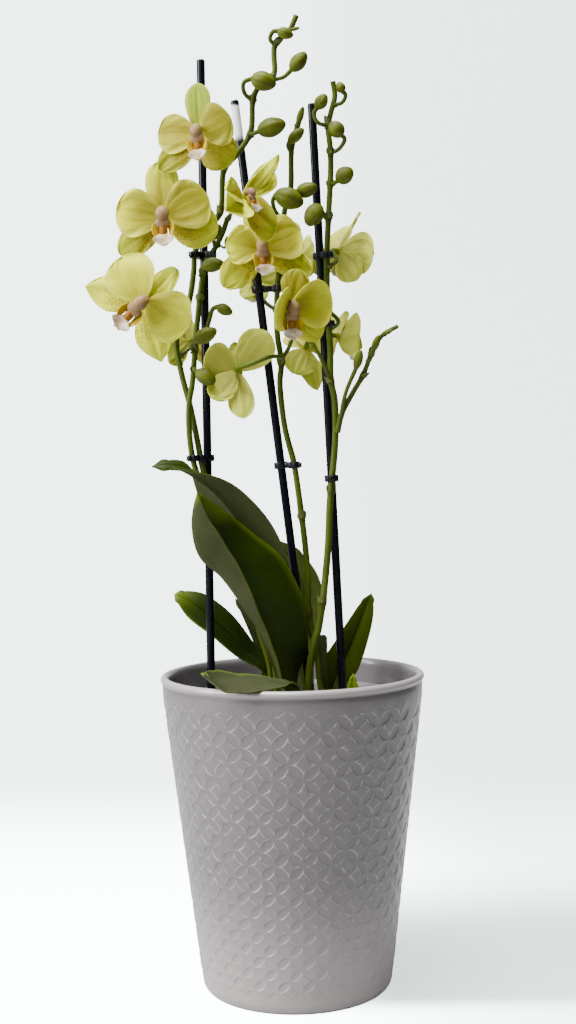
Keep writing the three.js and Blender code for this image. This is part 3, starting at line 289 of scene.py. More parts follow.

# What sets single flowers and tepals apart from the even flower. shade makes the colour deeper, or
# paler below 0, for the whole flower or for one tepal: painted shade and painted light on flowers and
# tepals that stand in more or less light. green makes it greener, and drop sets a tepal back, in
# millimetres. long and wide are for a flower of full size. heart_turn leans the column and lip further,
# and heart_size scales them.
# What the other values do is told at tepal_place.
TEPAL_LOOKS = {
    "flower_01": {
        "shade": 0.85,
        "top": dict(wide=16, widest=0.64, green=0.9, shade=1.3),
        "left": dict(around=-80, wide=24),
        "right": dict(around=76, ripple=1.6, twist=-24, wide=26, long=21),
        "lower_left": dict(around=-120),
        "lower_right": dict(around=140, ripple=1.0, long=24, wide=24),
    },
    "flower_02": {
        "shade": 0.2,
        "top": dict(wide=19, widest=0.6),
        "left": dict(around=-78, ripple=0.9, wide=27),
        "lower_left": dict(ripple=1.0, point=0.0),
        "lower_right": dict(around=110, ripple=1.2, long=29, wide=25, point=0.0),
    },
    "flower_03": {
        "shade": -0.5,
        "top": dict(twist=20, long=24, wide=13),
        "lower_left": dict(point=0.9, long=34, wide=19),
        "lower_right": dict(ripple=0.9, point=1.0, long=31, wide=21, around=121, drop=1.6),
    },
    "flower_04": {
        "heart_turn": 22, "heart_size": 0.75,
        "top": dict(around=56, lift=45, twist=40, wide=10, long=34.4, point=0.6, shade=-0.3),
        "left": dict(around=-104, lift=19, fold=0.5, wide=22, long=24.4,
                     ripple=1.4, shade=-0.7, green=-0.1),
        "right": dict(around=71, lift=41, cup=0.3, wide=14, long=26.7, ripple=0.7,
                      shade=-1.0, green=-0.1, drop=1.0),
        "lower_left": dict(around=-80, lift=31, fold=0.4, wide=17, long=26.7,
                           ripple=1.2, shade=-0.7, green=-0.6),
        "lower_right": dict(around=140, lift=6, wide=31, long=30, ripple=0.9, point=0.0, shade=0.4),
    },
    "flower_05": {
        "left": dict(fold=0.25, ripple=1.5, around=-78, long=20, wide=24),
        "right": dict(ripple=1.0, around=68),
        "lower_left": dict(around=-128, ripple=1.0, wide=20),
        "lower_right": dict(around=118, ripple=1.0, long=32),
    },
    "flower_06": {
        "top": dict(around=14, wide=17, long=21, ripple=1.3, twist=12, shade=0.8, green=-0.4),
        "left": dict(lift=72, around=-80, wide=24),
        "right": dict(around=80, ripple=0.9, shade=-0.45),
        "lower_left": dict(around=165, lift=-32, long=20, ripple=1.0),
        "lower_right": dict(around=128, lift=4, long=26.3, wide=18, ripple=1.5, point=0.0),
    },
    "flower_07": {
        "top": dict(around=12, lift=16, fold=0.5, wide=9, long=17.4),
        "left": dict(around=-32, lift=-2, long=29.3, ripple=0.9, wide=24),
        "right": dict(around=76, lift=-20, long=23.9, ripple=1.2, wide=24),
        "lower_left": dict(around=-167, lift=-5, long=30.4, wide=16.5, widest=0.62, point=0.1),
        "lower_right": dict(around=148, lift=-20, long=27.2, wide=17, point=0.0),
    },
    "flower_08": {
        "shade": -0.4,
        "top": dict(around=-16, lift=28, long=25),
        "left": dict(around=-56, lift=40, long=24, wide=20),
        "right": dict(around=8, lift=49, long=24, wide=20),
        "lower_left": dict(around=-172, lift=20, long=31, wide=17, point=0.8),
        "lower_right": dict(around=150, lift=14, long=21, wide=24, point=0.0, ripple=0.9),
    },
    "flower_09": {
        "top": dict(twist=85, wide=6, long=30, point=1.0),
        "lower_left": dict(around=-118, long=23, wide=21),
    },
    "flower_10": {
        "top": dict(long=19, lift=30),
        "left": dict(around=-97, lift=19, long=26, wide=33, green=0.3),
        "lower_left": dict(around=-128, long=20, wide=20, lift=50),
    },
    "flower_13": {
        "lower_left": dict(around=-156, lift=-20, long=24, wide=15),
        "lower_right": dict(around=164, lift=-29, long=24, wide=15),
    },
}


# ---------------------------------------------------------------- sizes and colours a user sets


def length(name, description, default):
    """A size that a user can change. Its default is given in millimetres."""
    return bpy.props.FloatProperty(
        name=name, description=description, default=default * MM, unit="LENGTH", subtype="DISTANCE",
        precision=5
    )


def colour(name, description, default):
    """A colour that a user can change."""
    return bpy.props.FloatVectorProperty(
        name=name, description=description, default=default, size=3, min=0, max=1, subtype="COLOR"
    )


class OrchidPotSettings(bpy.types.PropertyGroup):
    """The glazed pot, the grow pot and the bark"""

    height: length("Height", "Height of the glazed pot", 180)
    rim_radius: length("Rim radius", "Outside of the rim bead", 75)
    foot_radius: length("Foot radius", "Outside of the wall, carried down to the table", 53.5)
    shoulder_radius: length("Shoulder radius", "Outside of the wall just under the bead", 73.9)
    shoulder_height: length("Shoulder height", "Height of the groove under the bead", 171)
    wall: length("Wall", "Thickness of the wall", 4)
    relief: length("Relief", "How far the diamonds stand out of the wall", 0.42)
    columns: bpy.props.IntProperty(
        name="Columns", description="Diamonds round the pot", default=26, min=8, max=60
    )
    chips: bpy.props.IntProperty(name="Chips", description="Pieces of bark on the medium", default=300, min=0)
    glaze: colour("Glaze", "Colour of the glaze", (0.142, 0.13, 0.138))
    glaze_shade: colour("Glaze shade", "Colour of the glaze where it lies thin", (0.111, 0.101, 0.108))
    grow_pot: colour("Grow pot", "Colour of the inner pot", (0.2, 0.2, 0.205))
    bark: colour("Bark", "Colour of the bark", (0.09, 0.045, 0.022))


class OrchidPlantSettings(bpy.types.PropertyGroup):
    """Leaves, spikes, buds and flowers"""

    leaf_thickness: length("Leaf thickness", "Thickness of a leaf at its rib", 1.7)
    tepal_thickness: length("Tepal thickness", "Thickness of a sepal or petal at its middle", 0.8)
    sepal_length: length("Sepal length", "Length of a sepal of a full-size flower", 31)
    sepal_width: length("Sepal width", "Width of a sepal of a full-size flower", 17.5)
    petal_length: length("Petal length", "Length of a petal of a full-size flower", 25.5)
    petal_width: length("Petal width", "Width of a petal of a full-size flower", 28.5)
    pedicel_radius: length("Pedicel radius", "Radius of a flower's stalk", 1.2)
    joint_swell: length("Joint swell", "How far a joint stands out of the stem", 0.45)
    leaf_upper: colour("Leaf, upper face", "Dark green of the upper face", (0.009, 0.019, 0.0006))
    leaf_under: colour("Leaf, underside", "Grey green of the underside", (0.032, 0.037, 0.015))
    leaf_young: colour("Leaf, young", "Yellow green of tips and margins", (0.15, 0.22, 0.006))
    stem: colour("Stem", "Green of the stems", (0.05, 0.073, 0.0012))
    bud: colour("Bud", "Green of the buds", (0.07, 0.086, 0.0008))
    tepal: colour("Tepal", "Lemon yellow of the petals", (0.78, 0.8, 0.03))
    tepal_deep: colour("Tepal, deep", "Mustard yellow near the petals' claws", (0.29, 0.262, 0.013))
    tepal_green: colour("Tepal, green", "Green yellow of the sepals' tips", (0.19, 0.26, 0.006))
    column: colour("Column", "Pale mauve of the column", (0.27, 0.175, 0.1))
    lobe: colour("Side lobes", "Orange yellow of the lip's side lobes", (0.4, 0.21, 0.002))
    lip: colour("Lip", "White of the lip", (0.82, 0.8, 0.68))


class OrchidSupportSettings(bpy.types.PropertyGroup):
    """Stakes and clips"""

    stake_radius: length("Stake radius", "Radius of a stake", 2.4)
    clip_height: length("Clip height", "Height of a clip's band", 3.8)
    clip_wall: length("Clip wall", "Thickness of a clip's band", 1.5)
    plastic: colour("Plastic", "Black of the stakes and clips", (0.0025, 0.0028, 0.006))


class OrchidStageSettings(bpy.types.PropertyGroup):
    """Camera, floor and light"""

    camera_place: bpy.props.FloatVectorProperty(
        name="Camera", description="Where the camera stands", default=(-0.000743, -0.8624, 0.29987),
        subtype="TRANSLATION", unit="LENGTH", precision=5
    )
    camera_tilt: bpy.props.FloatProperty(
        name="Tilt", description="How far the camera looks down", default=0.033, subtype="ANGLE",
        unit="ROTATION"
    )
    camera_roll: bpy.props.FloatProperty(
        name="Roll", description="How far the camera leans", default=-0.0183, subtype="ANGLE",
        unit="ROTATION"
    )
    lens: bpy.props.FloatProperty(
        name="Lens", description="Focal length for a 36 mm sensor", default=53.33,
        subtype="DISTANCE_CAMERA", unit="CAMERA"
    )
    backdrop: colour("Backdrop", "Colour of the floor and the wall behind", (0.77, 0.9, 0.88))
    paper: colour("Paper", "Colour of the same paper in the room's light", (0.88, 0.885, 0.885))
    spill: bpy.props.FloatProperty(
        name="Spill", description="Share of the backdrop's glow that reaches the plant", default=0.0043,
        min=0, max=1
    )
    glow: bpy.props.FloatProperty(
        name="Glow", description="How much the floor and wall shine by themselves", default=23.5, min=0
    )


# ---------------------------------------------------------------- lines and small helpers


def smooth_line(points, t):
    """Points at t, from 0 to 1, on a smooth line through the given points."""
    row = np.asarray(points, float)
    x = np.clip(np.asarray(t, float), 0, 1) * (len(row) - 1)
    i = np.minimum(x.astype(int), len(row) - 2)
    w = (x - i)[:, None]
    row = np.vstack([2 * row[0] - row[1], row, 2 * row[-1] - row[-2]])
    p0, p1, p2, p3 = row[i], row[i + 1], row[i + 2], row[i + 3]

    def gap(a, b):
        return np.sqrt(np.maximum(np.linalg.norm(b - a, axis=1), 1e-6))[:, None]

    d0, d1, d2 = gap(p0, p1), gap(p1, p2), gap(p2, p3)
    t1 = ((p1 - p0) / d0 - (p2 - p0) / (d0 + d1) + (p2 - p1) / d1) * d1
    t2 = ((p2 - p1) / d1 - (p3 - p1) / (d1 + d2) + (p3 - p2) / d2) * d1
    return p1 + t1 * w + (3 * (p2 - p1) - 2 * t1 - t2) * w**2 + (2 * (p1 - p2) + t1 + t2) * w**3


def spaced_line(points, step):
    """The smooth line through points, cut into even steps of about that many millimetres."""
    fine = smooth_line(points, np.linspace(0, 1, 40 * len(points)))
    run = np.r_[0, np.cumsum(np.linalg.norm(np.diff(fine, axis=0), axis=1))]
    count = max(4, int(run[-1] / step) + 1)
    at = np.linspace(0, run[-1], count)
    return np.c_[[np.interp(at, run, fine[:, k]) for k in range(3)]].T


def ease(x, low, high):
    """0 below low, 1 above high, and smooth between."""
    t = np.clip((np.asarray(x, float) - low) / (high - low), 0, 1)
    return t * t * (3 - 2 * t)


def wave(seed, paces, count=3):
    """A smooth wandering line of about -1 to 1, always the same for the same seed."""
    chance = random.Random(seed)
    parts = [(chance.uniform(*paces), chance.uniform(0, FULL_TURN), chance.uniform(0.5, 1))
             for _ in range(count)]
    return lambda x: sum(size * np.sin(pace * x + start) for pace, start, size in parts) / count


def unit(vector):
    """The vector that points the same way and is 1 long."""
    vector = np.asarray(vector, float)
    return vector / np.linalg.norm(vector)


def units(rows):
    """The same for each of a row of vectors, of which some may have no length."""
    return rows / np.maximum(np.linalg.norm(rows, axis=1), 1e-6)[:, None]


def deselect():
    """Leaves edit mode and selects nothing, so that a new piece starts alone."""
    if bpy.context.object and bpy.context.object.mode != "OBJECT":
        bpy.ops.object.mode_set(mode="OBJECT")
    bpy.ops.object.select_all(action="DESELECT")


def add(tool, name, **settings):
    """Adds a piece on its own and names it."""
    deselect()
    tool(**settings)
    piece = bpy.context.object
    piece.name = name
    return piece


def take(piece):
    """Makes a piece the only one selected."""
    deselect()
    piece.select_set(True)
    bpy.context.view_layer.objects.active = piece


def points_of(piece):
    """A piece's points as rows of three, in metres."""
    flat = np.zeros(len(piece.data.vertices) * 3)
    piece.data.vertices.foreach_get("co", flat)
    return flat.reshape(-1, 3)


def move_points(piece, points):
    """Puts a piece's points at new places, given in millimetres."""
    piece.data.vertices.foreach_set("co", (np.asarray(points) * MM).ravel())
    piece.data.update()


def mark(piece, name, values):
    """A number for each point, which the materials read."""
    layer = piece.data.attributes.new(name, "FLOAT", "POINT")
    layer.data.foreach_set("value", np.broadcast_to(values, len(piece.data.vertices)).astype(np.float32))


def apply_modifier(piece, kind, **settings):
    take(piece)
    modifier = piece.modifiers.new(kind.title(), kind)
    for name, value in settings.items():
        setattr(modifier, name, value)
    bpy.ops.object.modifier_apply(modifier=modifier.name)


def edit_all(piece, tool, **settings):
    """Runs one of the mesh tools on all of a piece."""
    take(piece)
    bpy.ops.object.mode_set(mode="EDIT")
    bpy.ops.mesh.select_all(action="SELECT")
    tool(**settings)
    bpy.ops.object.mode_set(mode="OBJECT")


def turn_outwards(piece):
    """Makes all faces of a closed piece point outwards."""
    edit_all(piece, bpy.ops.mesh.normals_make_consistent, inside=False)


def close_seam(piece, distance=0.01):
    """Merges the doubled points where a turned piece meets itself, and makes its faces point outwards."""
    edit_all(piece, bpy.ops.mesh.remove_doubles, threshold=distance * MM)
    turn_outwards(piece)


def sheet(name, rows, columns, place):
    """A grid whose points go to place(u, v): u from root to tip, v from -1 to 1 across."""
    piece = add(bpy.ops.mesh.primitive_grid_add, name, x_subdivisions=columns, y_subdivisions=rows, size=2)
    flat = points_of(piece)
    u, v = (flat[:, 1] + 1) / 2, flat[:, 0]
    move_points(piece, place(u, v))
    return piece, u, v


def thicken(piece, thickness, body, edge_share=0.35, back=0, rim=0):
    """Gives a sheet its thickness, full where body is 1 and thin where it is 0."""
    group = piece.vertex_groups.new(name="body")
    for index, weight in enumerate(np.round(body, 2)):
        group.add([index], float(weight), "REPLACE")
    apply_modifier(
        piece, "SOLIDIFY", thickness=thickness * MM, offset=0, vertex_group="body",
        thickness_vertex_group=edge_share, material_offset=back, material_offset_rim=rim
    )
    piece.vertex_groups.clear()


def ball(name, shape, segments, rings):
    """A ball whose points, on a sphere of radius 1, go to shape(points)."""
    piece = add(bpy.ops.mesh.primitive_uv_sphere_add, name, segments=segments, ring_count=rings, radius=1)
    start = points_of(piece)
    move_points(piece, shape(start))
    return piece, start


def tube(name, line, radii, roundness):
    """A round bar along a line, with a radius for each of its points."""
    curve = add(bpy.ops.curve.primitive_nurbs_path_add, name, radius=1).data
    curve.splines.clear()
    path = curve.splines.new("POLY")
    path.points.add(len(line) - 1)
    path.points.foreach_set("co", np.c_[np.asarray(line) * MM, np.ones(len(line))].ravel())
    path.points.foreach_set("radius", np.broadcast_to(radii, len(line)).astype(float))
    curve.bevel_depth = MM
    curve.bevel_resolution = roundness
    curve.use_fill_caps = True
    bpy.ops.object.convert(target="MESH")
    return bpy.context.object


def join(pieces, name):
    take(pieces[0])
    for piece in pieces[1:]:
        piece.select_set(True)
    bpy.ops.object.join()
    whole = bpy.context.object
    whole.name = name
    whole.data.name = name
    return whole


def smooth_shade(piece, degrees=50):
    """Shades a piece smooth, but for edges sharper than that many degrees."""
    take(piece)
    bpy.ops.object.shade_smooth_by_angle(angle=math.radians(degrees))


def dress(piece, *finishes):
    """Fills the material slots of a piece, in order."""
    for finish in finishes:
        piece.data.materials.append(finish)


def dress_in_one(piece, index, finishes):
    """Fills the slots of a piece that will be joined, and gives all its faces one of the finishes."""
    dress(piece, *finishes)
    for face in piece.data.polygons:
        face.material_index = index


def hand_in(piece, slot, *nodes, degrees=50):
    """A finished piece: placed in its mesh, smooth, riding on the plant and standing for its nodes."""
    take(piece)
    bpy.ops.object.transform_apply(location=True, rotation=True, scale=True)
    smooth_shade(piece, degrees)
    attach(piece, "root")
    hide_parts(*nodes)


# ---------------------------------------------------------------- finishes


def node(tree, kind, inputs=None, **settings):
    """A new node with its settings. Its inputs are values or the outputs of other nodes."""
    made = tree.nodes.new(kind)
    for name, value in settings.items():
        setattr(made, name, value)
    for name, value in (inputs or {}).items():
        if isinstance(value, bpy.types.NodeSocket):
            tree.links.new(value, made.inputs[name])
        else:
            made.inputs[name].default_value = value
    return made


def reckon(tree, how, *values):
    """One step of arithmetic on values or outputs."""
    return node(tree, "ShaderNodeMath", dict(enumerate(values)), operation=how).outputs[0]


def held(tree, how, *values):
    """One step of arithmetic, with its result held between 0 and 1."""
    result = reckon(tree, how, *values)
    result.node.use_clamp = True
    return result


def stretch(tree, value, low, high, to_low=0.0, to_high=1.0):
    """Moves the range from low to high onto another one, and stops at its ends."""
    return node(tree, "ShaderNodeMapRange", {"Value": value, "From Min": low, "From Max": high,
                                             "To Min": to_low, "To Max": to_high}).outputs[0]


def noise(tree, place, scale, detail, roughness=0.5):
    return node(tree, "ShaderNodeTexNoise", {"Vector": place, "Scale": scale, "Detail": detail,
                                             "Roughness": roughness}).outputs[0]


def ramp(tree, value, low, high):
    """A smooth rise from 0 at low to 1 at high, which may lie the other way round."""
    return node(tree, "ShaderNodeMapRange", {"Value": value, "From Min": low, "From Max": high},
                interpolation_type="SMOOTHSTEP").outputs[0]


def blend(tree, share, first, second, how="MIX"):
    """Mixes two colours: share 0 gives the first, 1 the second."""
    mix = node(tree, "ShaderNodeMix", {0: share}, data_type="RGBA", blend_type=how)
    for index, value in ((6, first), (7, second)):
        if isinstance(value, bpy.types.NodeSocket):
            tree.links.new(value, mix.inputs[index])
        else:
            mix.inputs[index].default_value = (*value, 1)
    return mix.outputs[2]


NUMBER, VECTOR, COLOUR = "NodeSocketFloat", "NodeSocketVector", "NodeSocketColor"


def effect(name, takes, gives):
    """A new shared effect: its group, and the sockets of what it takes in and gives out."""
    group = bpy.data.node_groups.new(name, "ShaderNodeTree")
    for label, (kind, *start) in takes.items():
        socket = group.interface.new_socket(label, in_out="INPUT", socket_type=kind)
        if start:
            socket.default_value = start[0]
    for label, kind in gives.items():
        group.interface.new_socket(label, in_out="OUTPUT", socket_type=kind)
    return group, group.nodes.new("NodeGroupInput").outputs, group.nodes.new("NodeGroupOutput").inputs


def mottle_effect():
    """Two colours that run into each other in soft patches."""
    group, takes, gives = effect(
        "Soft Mottle",
        {"Place": (VECTOR,), "Scale": (NUMBER, 20.0), "Softness": (NUMBER, 0.3),
         "Light": (COLOUR, (1, 1, 1, 1)), "Dark": (COLOUR, (0, 0, 0, 1))},
        {"Colour": COLOUR},
    )
    cloud = noise(group, takes["Place"], takes["Scale"], 4.0)
    low, high = [reckon(group, how, 0.5, takes["Softness"]) for how in ("SUBTRACT", "ADD")]
    mask = stretch(group, cloud, low, high)
    group.links.new(blend(group, mask, takes["Light"], takes["Dark"]), gives["Colour"])
    return group


def skin_effect():
    """The fine grain of a surface: its height for a bump, and its roughness."""
    group, takes, gives = effect(
        "Fine Skin",
        {"Place": (VECTOR,), "Scale": (NUMBER, 200.0), "Smooth": (NUMBER, 0.3), "Rough": (NUMBER, 0.5)},
        {"Height": NUMBER, "Roughness": NUMBER},
    )
    grain = noise(group, takes["Place"], takes["Scale"], 5.0, 0.6)
    group.links.new(grain, gives["Height"])
    rough = stretch(group, grain, 0.3, 0.7, takes["Smooth"], takes["Rough"])
    group.links.new(rough, gives["Roughness"])
    return group


def vein_effect():
    """Thin lines that run from root to tip on a leaf's or tepal's own map, and wander a little."""
    group, takes, gives = effect(
        "Lengthwise Veins",
        {"Map": (VECTOR,), "Count": (NUMBER, 12.0), "Wander": (NUMBER, 0.6), "Thinness": (NUMBER, 3.0)},
        {"Mask": NUMBER},
    )
    across = node(group, "ShaderNodeSeparateXYZ", {0: takes["Map"]}).outputs[0]
    drift = noise(group, takes["Map"], 7.0, 3.0)
    count = reckon(group, "MULTIPLY", across, takes["Count"])
    moved = reckon(group, "MULTIPLY_ADD", drift, takes["Wander"], count)
    swing = reckon(group, "COSINE", reckon(group, "MULTIPLY", moved, 2 * math.pi))
    half = reckon(group, "MULTIPLY_ADD", swing, 0.5, 0.5)
    group.links.new(reckon(group, "POWER", half, takes["Thinness"]), gives["Mask"])
    return group


def fleck_effect():
    """Small round dots, in cells of an even size, on a piece's own place."""
    group, takes, gives = effect(
        "Scattered Flecks",
        {"Place": (VECTOR,), "Scale": (NUMBER, 900.0), "Size": (NUMBER, 0.3)},
        {"Mask": NUMBER},
    )
    cells = node(group, "ShaderNodeTexVoronoi", {"Vector": takes["Place"], "Scale": takes["Scale"]})
    group.links.new(stretch(group, cells.outputs["Distance"], takes["Size"], 0.1), gives["Mask"])
    return group


EFFECTS = {}


def use(tree, maker, **values):
    """A shared effect in a material, with its own values. It is made when it is first used."""
    if maker not in EFFECTS:
        EFFECTS[maker] = maker()
    return node(tree, "ShaderNodeGroup", values, node_tree=EFFECTS[maker]).outputs


def patches(tree, place, scale, softness, light, dark):
    return use(tree, mottle_effect, Place=place, Scale=scale, Softness=softness, Light=(*light, 1),
               Dark=(*dark, 1))["Colour"]


def skin_of(tree, place, scale, smooth, rough):
    """The fine grain of a surface, with its least and its most roughness."""
    return use(tree, skin_effect, Place=place, Scale=scale, Smooth=smooth, Rough=rough)


def flecks(tree, place, scale, size, strength):
    """How strongly small dots cover the colour under them."""
    dots = use(tree, fleck_effect, Place=place, Scale=scale, Size=size)["Mask"]
    return held(tree, "MULTIPLY", dots, strength)


def veins(tree, count, wander, thinness):
    """Lengthwise lines on a piece's own map."""
    own = node(tree, "ShaderNodeUVMap").outputs[0]
    return use(tree, vein_effect, Map=own, Count=count, Wander=wander, Thinness=thinness)["Mask"]


def new_finish(name, **sockets):
    """A material with these values on its shader's own sockets."""
    finish = bpy.data.materials.new(name)
    finish.use_nodes = True
    shader = finish.node_tree.nodes["Principled BSDF"]
    for label, value in sockets.items():
        shader.inputs[label.replace("_", " ")].default_value = value
    return finish, finish.node_tree, shader


def wear(tree, shader, colour, height, roughness, depth, strength):
    """Joins colour, bump and roughness to the shader. depth is the bump's height in millimetres."""
    bump = node(tree, "ShaderNodeBump", {"Strength": strength, "Distance": depth * MM, "Height": height})
    tree.links.new(colour, shader.inputs["Base Color"])
    tree.links.new(roughness, shader.inputs["Roughness"])
    tree.links.new(bump.outputs[0], shader.inputs["Normal"])


def object_place(tree, scale=(1, 1, 1)):
    """A point's place on the piece, for a pattern that the scale stretches."""
    spot = node(tree, "ShaderNodeTexCoord").outputs["Object"]
    return node(tree, "ShaderNodeMapping", {"Vector": spot, "Scale": scale}).outputs[0]


def marked(tree, name):
    """The number that mark gave to the points."""
    return node(tree, "ShaderNodeAttribute", attribute_name=name).outputs["Fac"]


def lit(colour, factor):
    """A colour made lighter, or darker with a factor under 1."""
    return tuple(min(1.0, channel * factor) for channel in colour)


def mixed(first, second, first_share, second_share):
    """A colour with a share of each of two."""
    return [first_share * a + second_share * b for a, b in zip(first, second)]


def overlapping_circles(tree, columns):
    """The pot's pattern on its own map: how far a point lies inside a diamond, in half columns."""
    across = node(tree, "ShaderNodeSeparateXYZ", {0: node(tree, "ShaderNodeUVMap").outputs[0]}).outputs[0]
    row = marked(tree, "row")
    turned = reckon(tree, "MULTIPLY_ADD", row, -math.radians(TURN_PER_ROW) * columns / math.pi,
                    -columns * (1 + math.radians(TURN_AT_TOP) / math.pi))
    column = reckon(tree, "MULTIPLY_ADD", across, 2.0 * columns, turned)
    # Circles have their middles where half the sum and half the difference of column and row are both
    # whole numbers, so a point is folded back to the nearest middle.
    folded = []
    for how in ("ADD", "SUBTRACT"):
        half = reckon(tree, "MULTIPLY", reckon(tree, how, column, row), 0.5)
        folded.append(reckon(tree, "ABSOLUTE", reckon(tree, "SUBTRACT", half, reckon(tree, "ROUND", half))))
    longer, shorter = reckon(tree, "MAXIMUM", *folded), reckon(tree, "MINIMUM", *folded)
    reach = reckon(tree, "SUBTRACT", 1.0, longer)
    square = reckon(tree, "MULTIPLY_ADD", reach, reach, reckon(tree, "MULTIPLY", shorter, shorter))
    return reckon(tree, "MULTIPLY_ADD", reckon(tree, "SQRT", square), math.sqrt(2), -1.0)


def glaze_finish(settings):
    """The pot's glaze, with a crisp ridge round each diamond that is paler in broken stretches, partly as
    worn glaze and partly as a painted highlight.
    """
    finish, tree, shader = new_finish("Stoneware Glaze", Coat_Weight=0.55, Coat_Roughness=0.1)
    place = object_place(tree)
    # How much paler the glaze gets where it is marked and on its ridges, partly as thin glaze and partly as
    # painted light.
    thin_and_lit_glaze, warmth = 2.4, (1.0, 0.985, 0.94)
    warm = [thin_and_lit_glaze * channel * share for channel, share in zip(settings.glaze, warmth)]
    cloud = patches(tree, place, 9.0, 0.25, settings.glaze, settings.glaze_shade)
    # Where tone is marked the glaze turns paler and warmer, partly as painted light on the bead and inside.
    edges = blend(tree, marked(tree, "tone"), cloud, warm)
    # Over the relief the glaze keeps a crisp edge: a rise at the diamond's outline with a fine ridge on
    # it, both reckoned in half columns from the outline.
    inside = overlapping_circles(tree, settings.columns)
    drop = ramp(tree, inside, 0.05, 0.14)
    ridge = held(tree, "SUBTRACT", ramp(tree, inside, -0.02, 0.06), drop)
    flat_share, grain_share = 0.45, 0.12
    step = reckon(tree, "MULTIPLY_ADD", drop, flat_share, ridge)
    shaped = reckon(tree, "MULTIPLY", step, marked(tree, "share"))
    skin = skin_of(tree, place, 260.0, 0.28, 0.42)
    height = reckon(tree, "MULTIPLY_ADD", skin["Height"], grain_share, shaped)
    # The ridges are paler in broken stretches, partly where the glaze has run off them and partly as a
    # painted highlight where light would catch them.
    raised = held(tree, "MULTIPLY", ridge, marked(tree, "share"))
    broken = held(tree, "MULTIPLY", raised, ramp(tree, noise(tree, place, 260.0, 3.0), 0.38, 0.68))
    ridges_thin_and_lit = blend(tree, broken, edges, lit(settings.glaze, thin_and_lit_glaze))
    speckled = blend(tree, flecks(tree, place, 420.0, 0.16, 0.25), ridges_thin_and_lit, lit(settings.glaze_shade, 0.5))
    wear(tree, shader, speckled, height, skin["Roughness"], depth=0.26, strength=0.75)
    return finish


def moulded_finish(name, tone, gloss, shine=0.5, pale_stretch=None):
    """Moulded plastic, which takes a pale colour, where one is given, where it is marked."""
    finish, tree, shader = new_finish(name, Specular_IOR_Level=shine)
    place = object_place(tree, (1, 1, 0.15))
    colour = patches(tree, place, 60.0, 0.3, lit(tone, 1.5), tone)
    if pale_stretch:
        colour = blend(tree, marked(tree, "pale_stretch"), colour, pale_stretch)
    skin = skin_of(tree, place, 900.0, gloss, gloss + 0.18)
    wear(tree, shader, colour, skin["Height"], skin["Roughness"], depth=0.05, strength=0.3)
    return finish


def bark_finish(settings):
    """Bark, with lighter and darker chips."""
    finish, tree, shader = new_finish("Bark Chips")
    place = object_place(tree, (1, 1, 2.5))
    colour = patches(tree, place, 70.0, 0.18, lit(settings.bark, 2.2), lit(settings.bark, 0.35))
    each = blend(tree, marked(tree, "tone"), colour, lit(settings.bark, 1.2), "MULTIPLY")
    skin = skin_of(tree, place, 420.0, 0.75, 0.95)
    wear(tree, shader, each, skin["Height"], skin["Roughness"], depth=0.7, strength=0.8)
    return finish


def leaf_finish(name, tone, young, gloss, vein_share, vein_light):
    """One face of a leaf, with fine veins, and yellow green where it is marked young or pale."""
    finish, tree, shader = new_finish(name, Specular_IOR_Level=0.1)
    place = object_place(tree)
    colour = patches(tree, place, 45.0, 0.22, lit(tone, 1.35), lit(tone, 0.8))
    lines = veins(tree, 22.0, 0.25, 2.5)
    veined = blend(tree, held(tree, "MULTIPLY", lines, vein_share), colour, lit(tone, vein_light))
    ripe = blend(tree, marked(tree, "young"), veined, young)
    base = blend(tree, marked(tree, "pale"), ripe, lit(young, 0.75))
    skin = skin_of(tree, place, 500.0, gloss, gloss + 0.15)
    rise = held(tree, "MULTIPLY_ADD", lines, 0.4, skin["Height"])
    wear(tree, shader, base, rise, skin["Roughness"], depth=0.12, strength=0.3)
    return finish


def stem_finish(name, tone, gloss=0.4):
    """A stem's green, with small dark specks, browner joints and paler ridges."""
    finish, tree, shader = new_finish(name, Specular_IOR_Level=0.2)
    place = object_place(tree, (1, 1, 0.25))
    colour = patches(tree, place, 240.0, 0.3, lit(tone, 1.35), lit(tone, 0.7))
    dotted = blend(tree, flecks(tree, object_place(tree), 700.0, 0.2, 0.3), colour, lit(tone, 0.4))
    joint = blend(tree, marked(tree, "tone"), dotted, (tone[0] * 0.75, tone[1] * 0.5, tone[2] * 0.5))
    ridge = blend(tree, marked(tree, "pale"), joint, lit(tone, 1.9))
    skin = skin_of(tree, place, 800.0, gloss, gloss + 0.2)
    wear(tree, shader, ridge, skin["Height"], skin["Roughness"], depth=0.1, strength=0.4)
    return finish


# The painted glow of light on a tepal's rim, the brown of its flecks and the red of the heart's specks.
PAINTED_RIM_GLOW, BROWN_FLECK, RED_SPECK = (0.8, 0.8, 0.12), (0.2, 0.08, 0.02), (0.35, 0.06, 0.05)


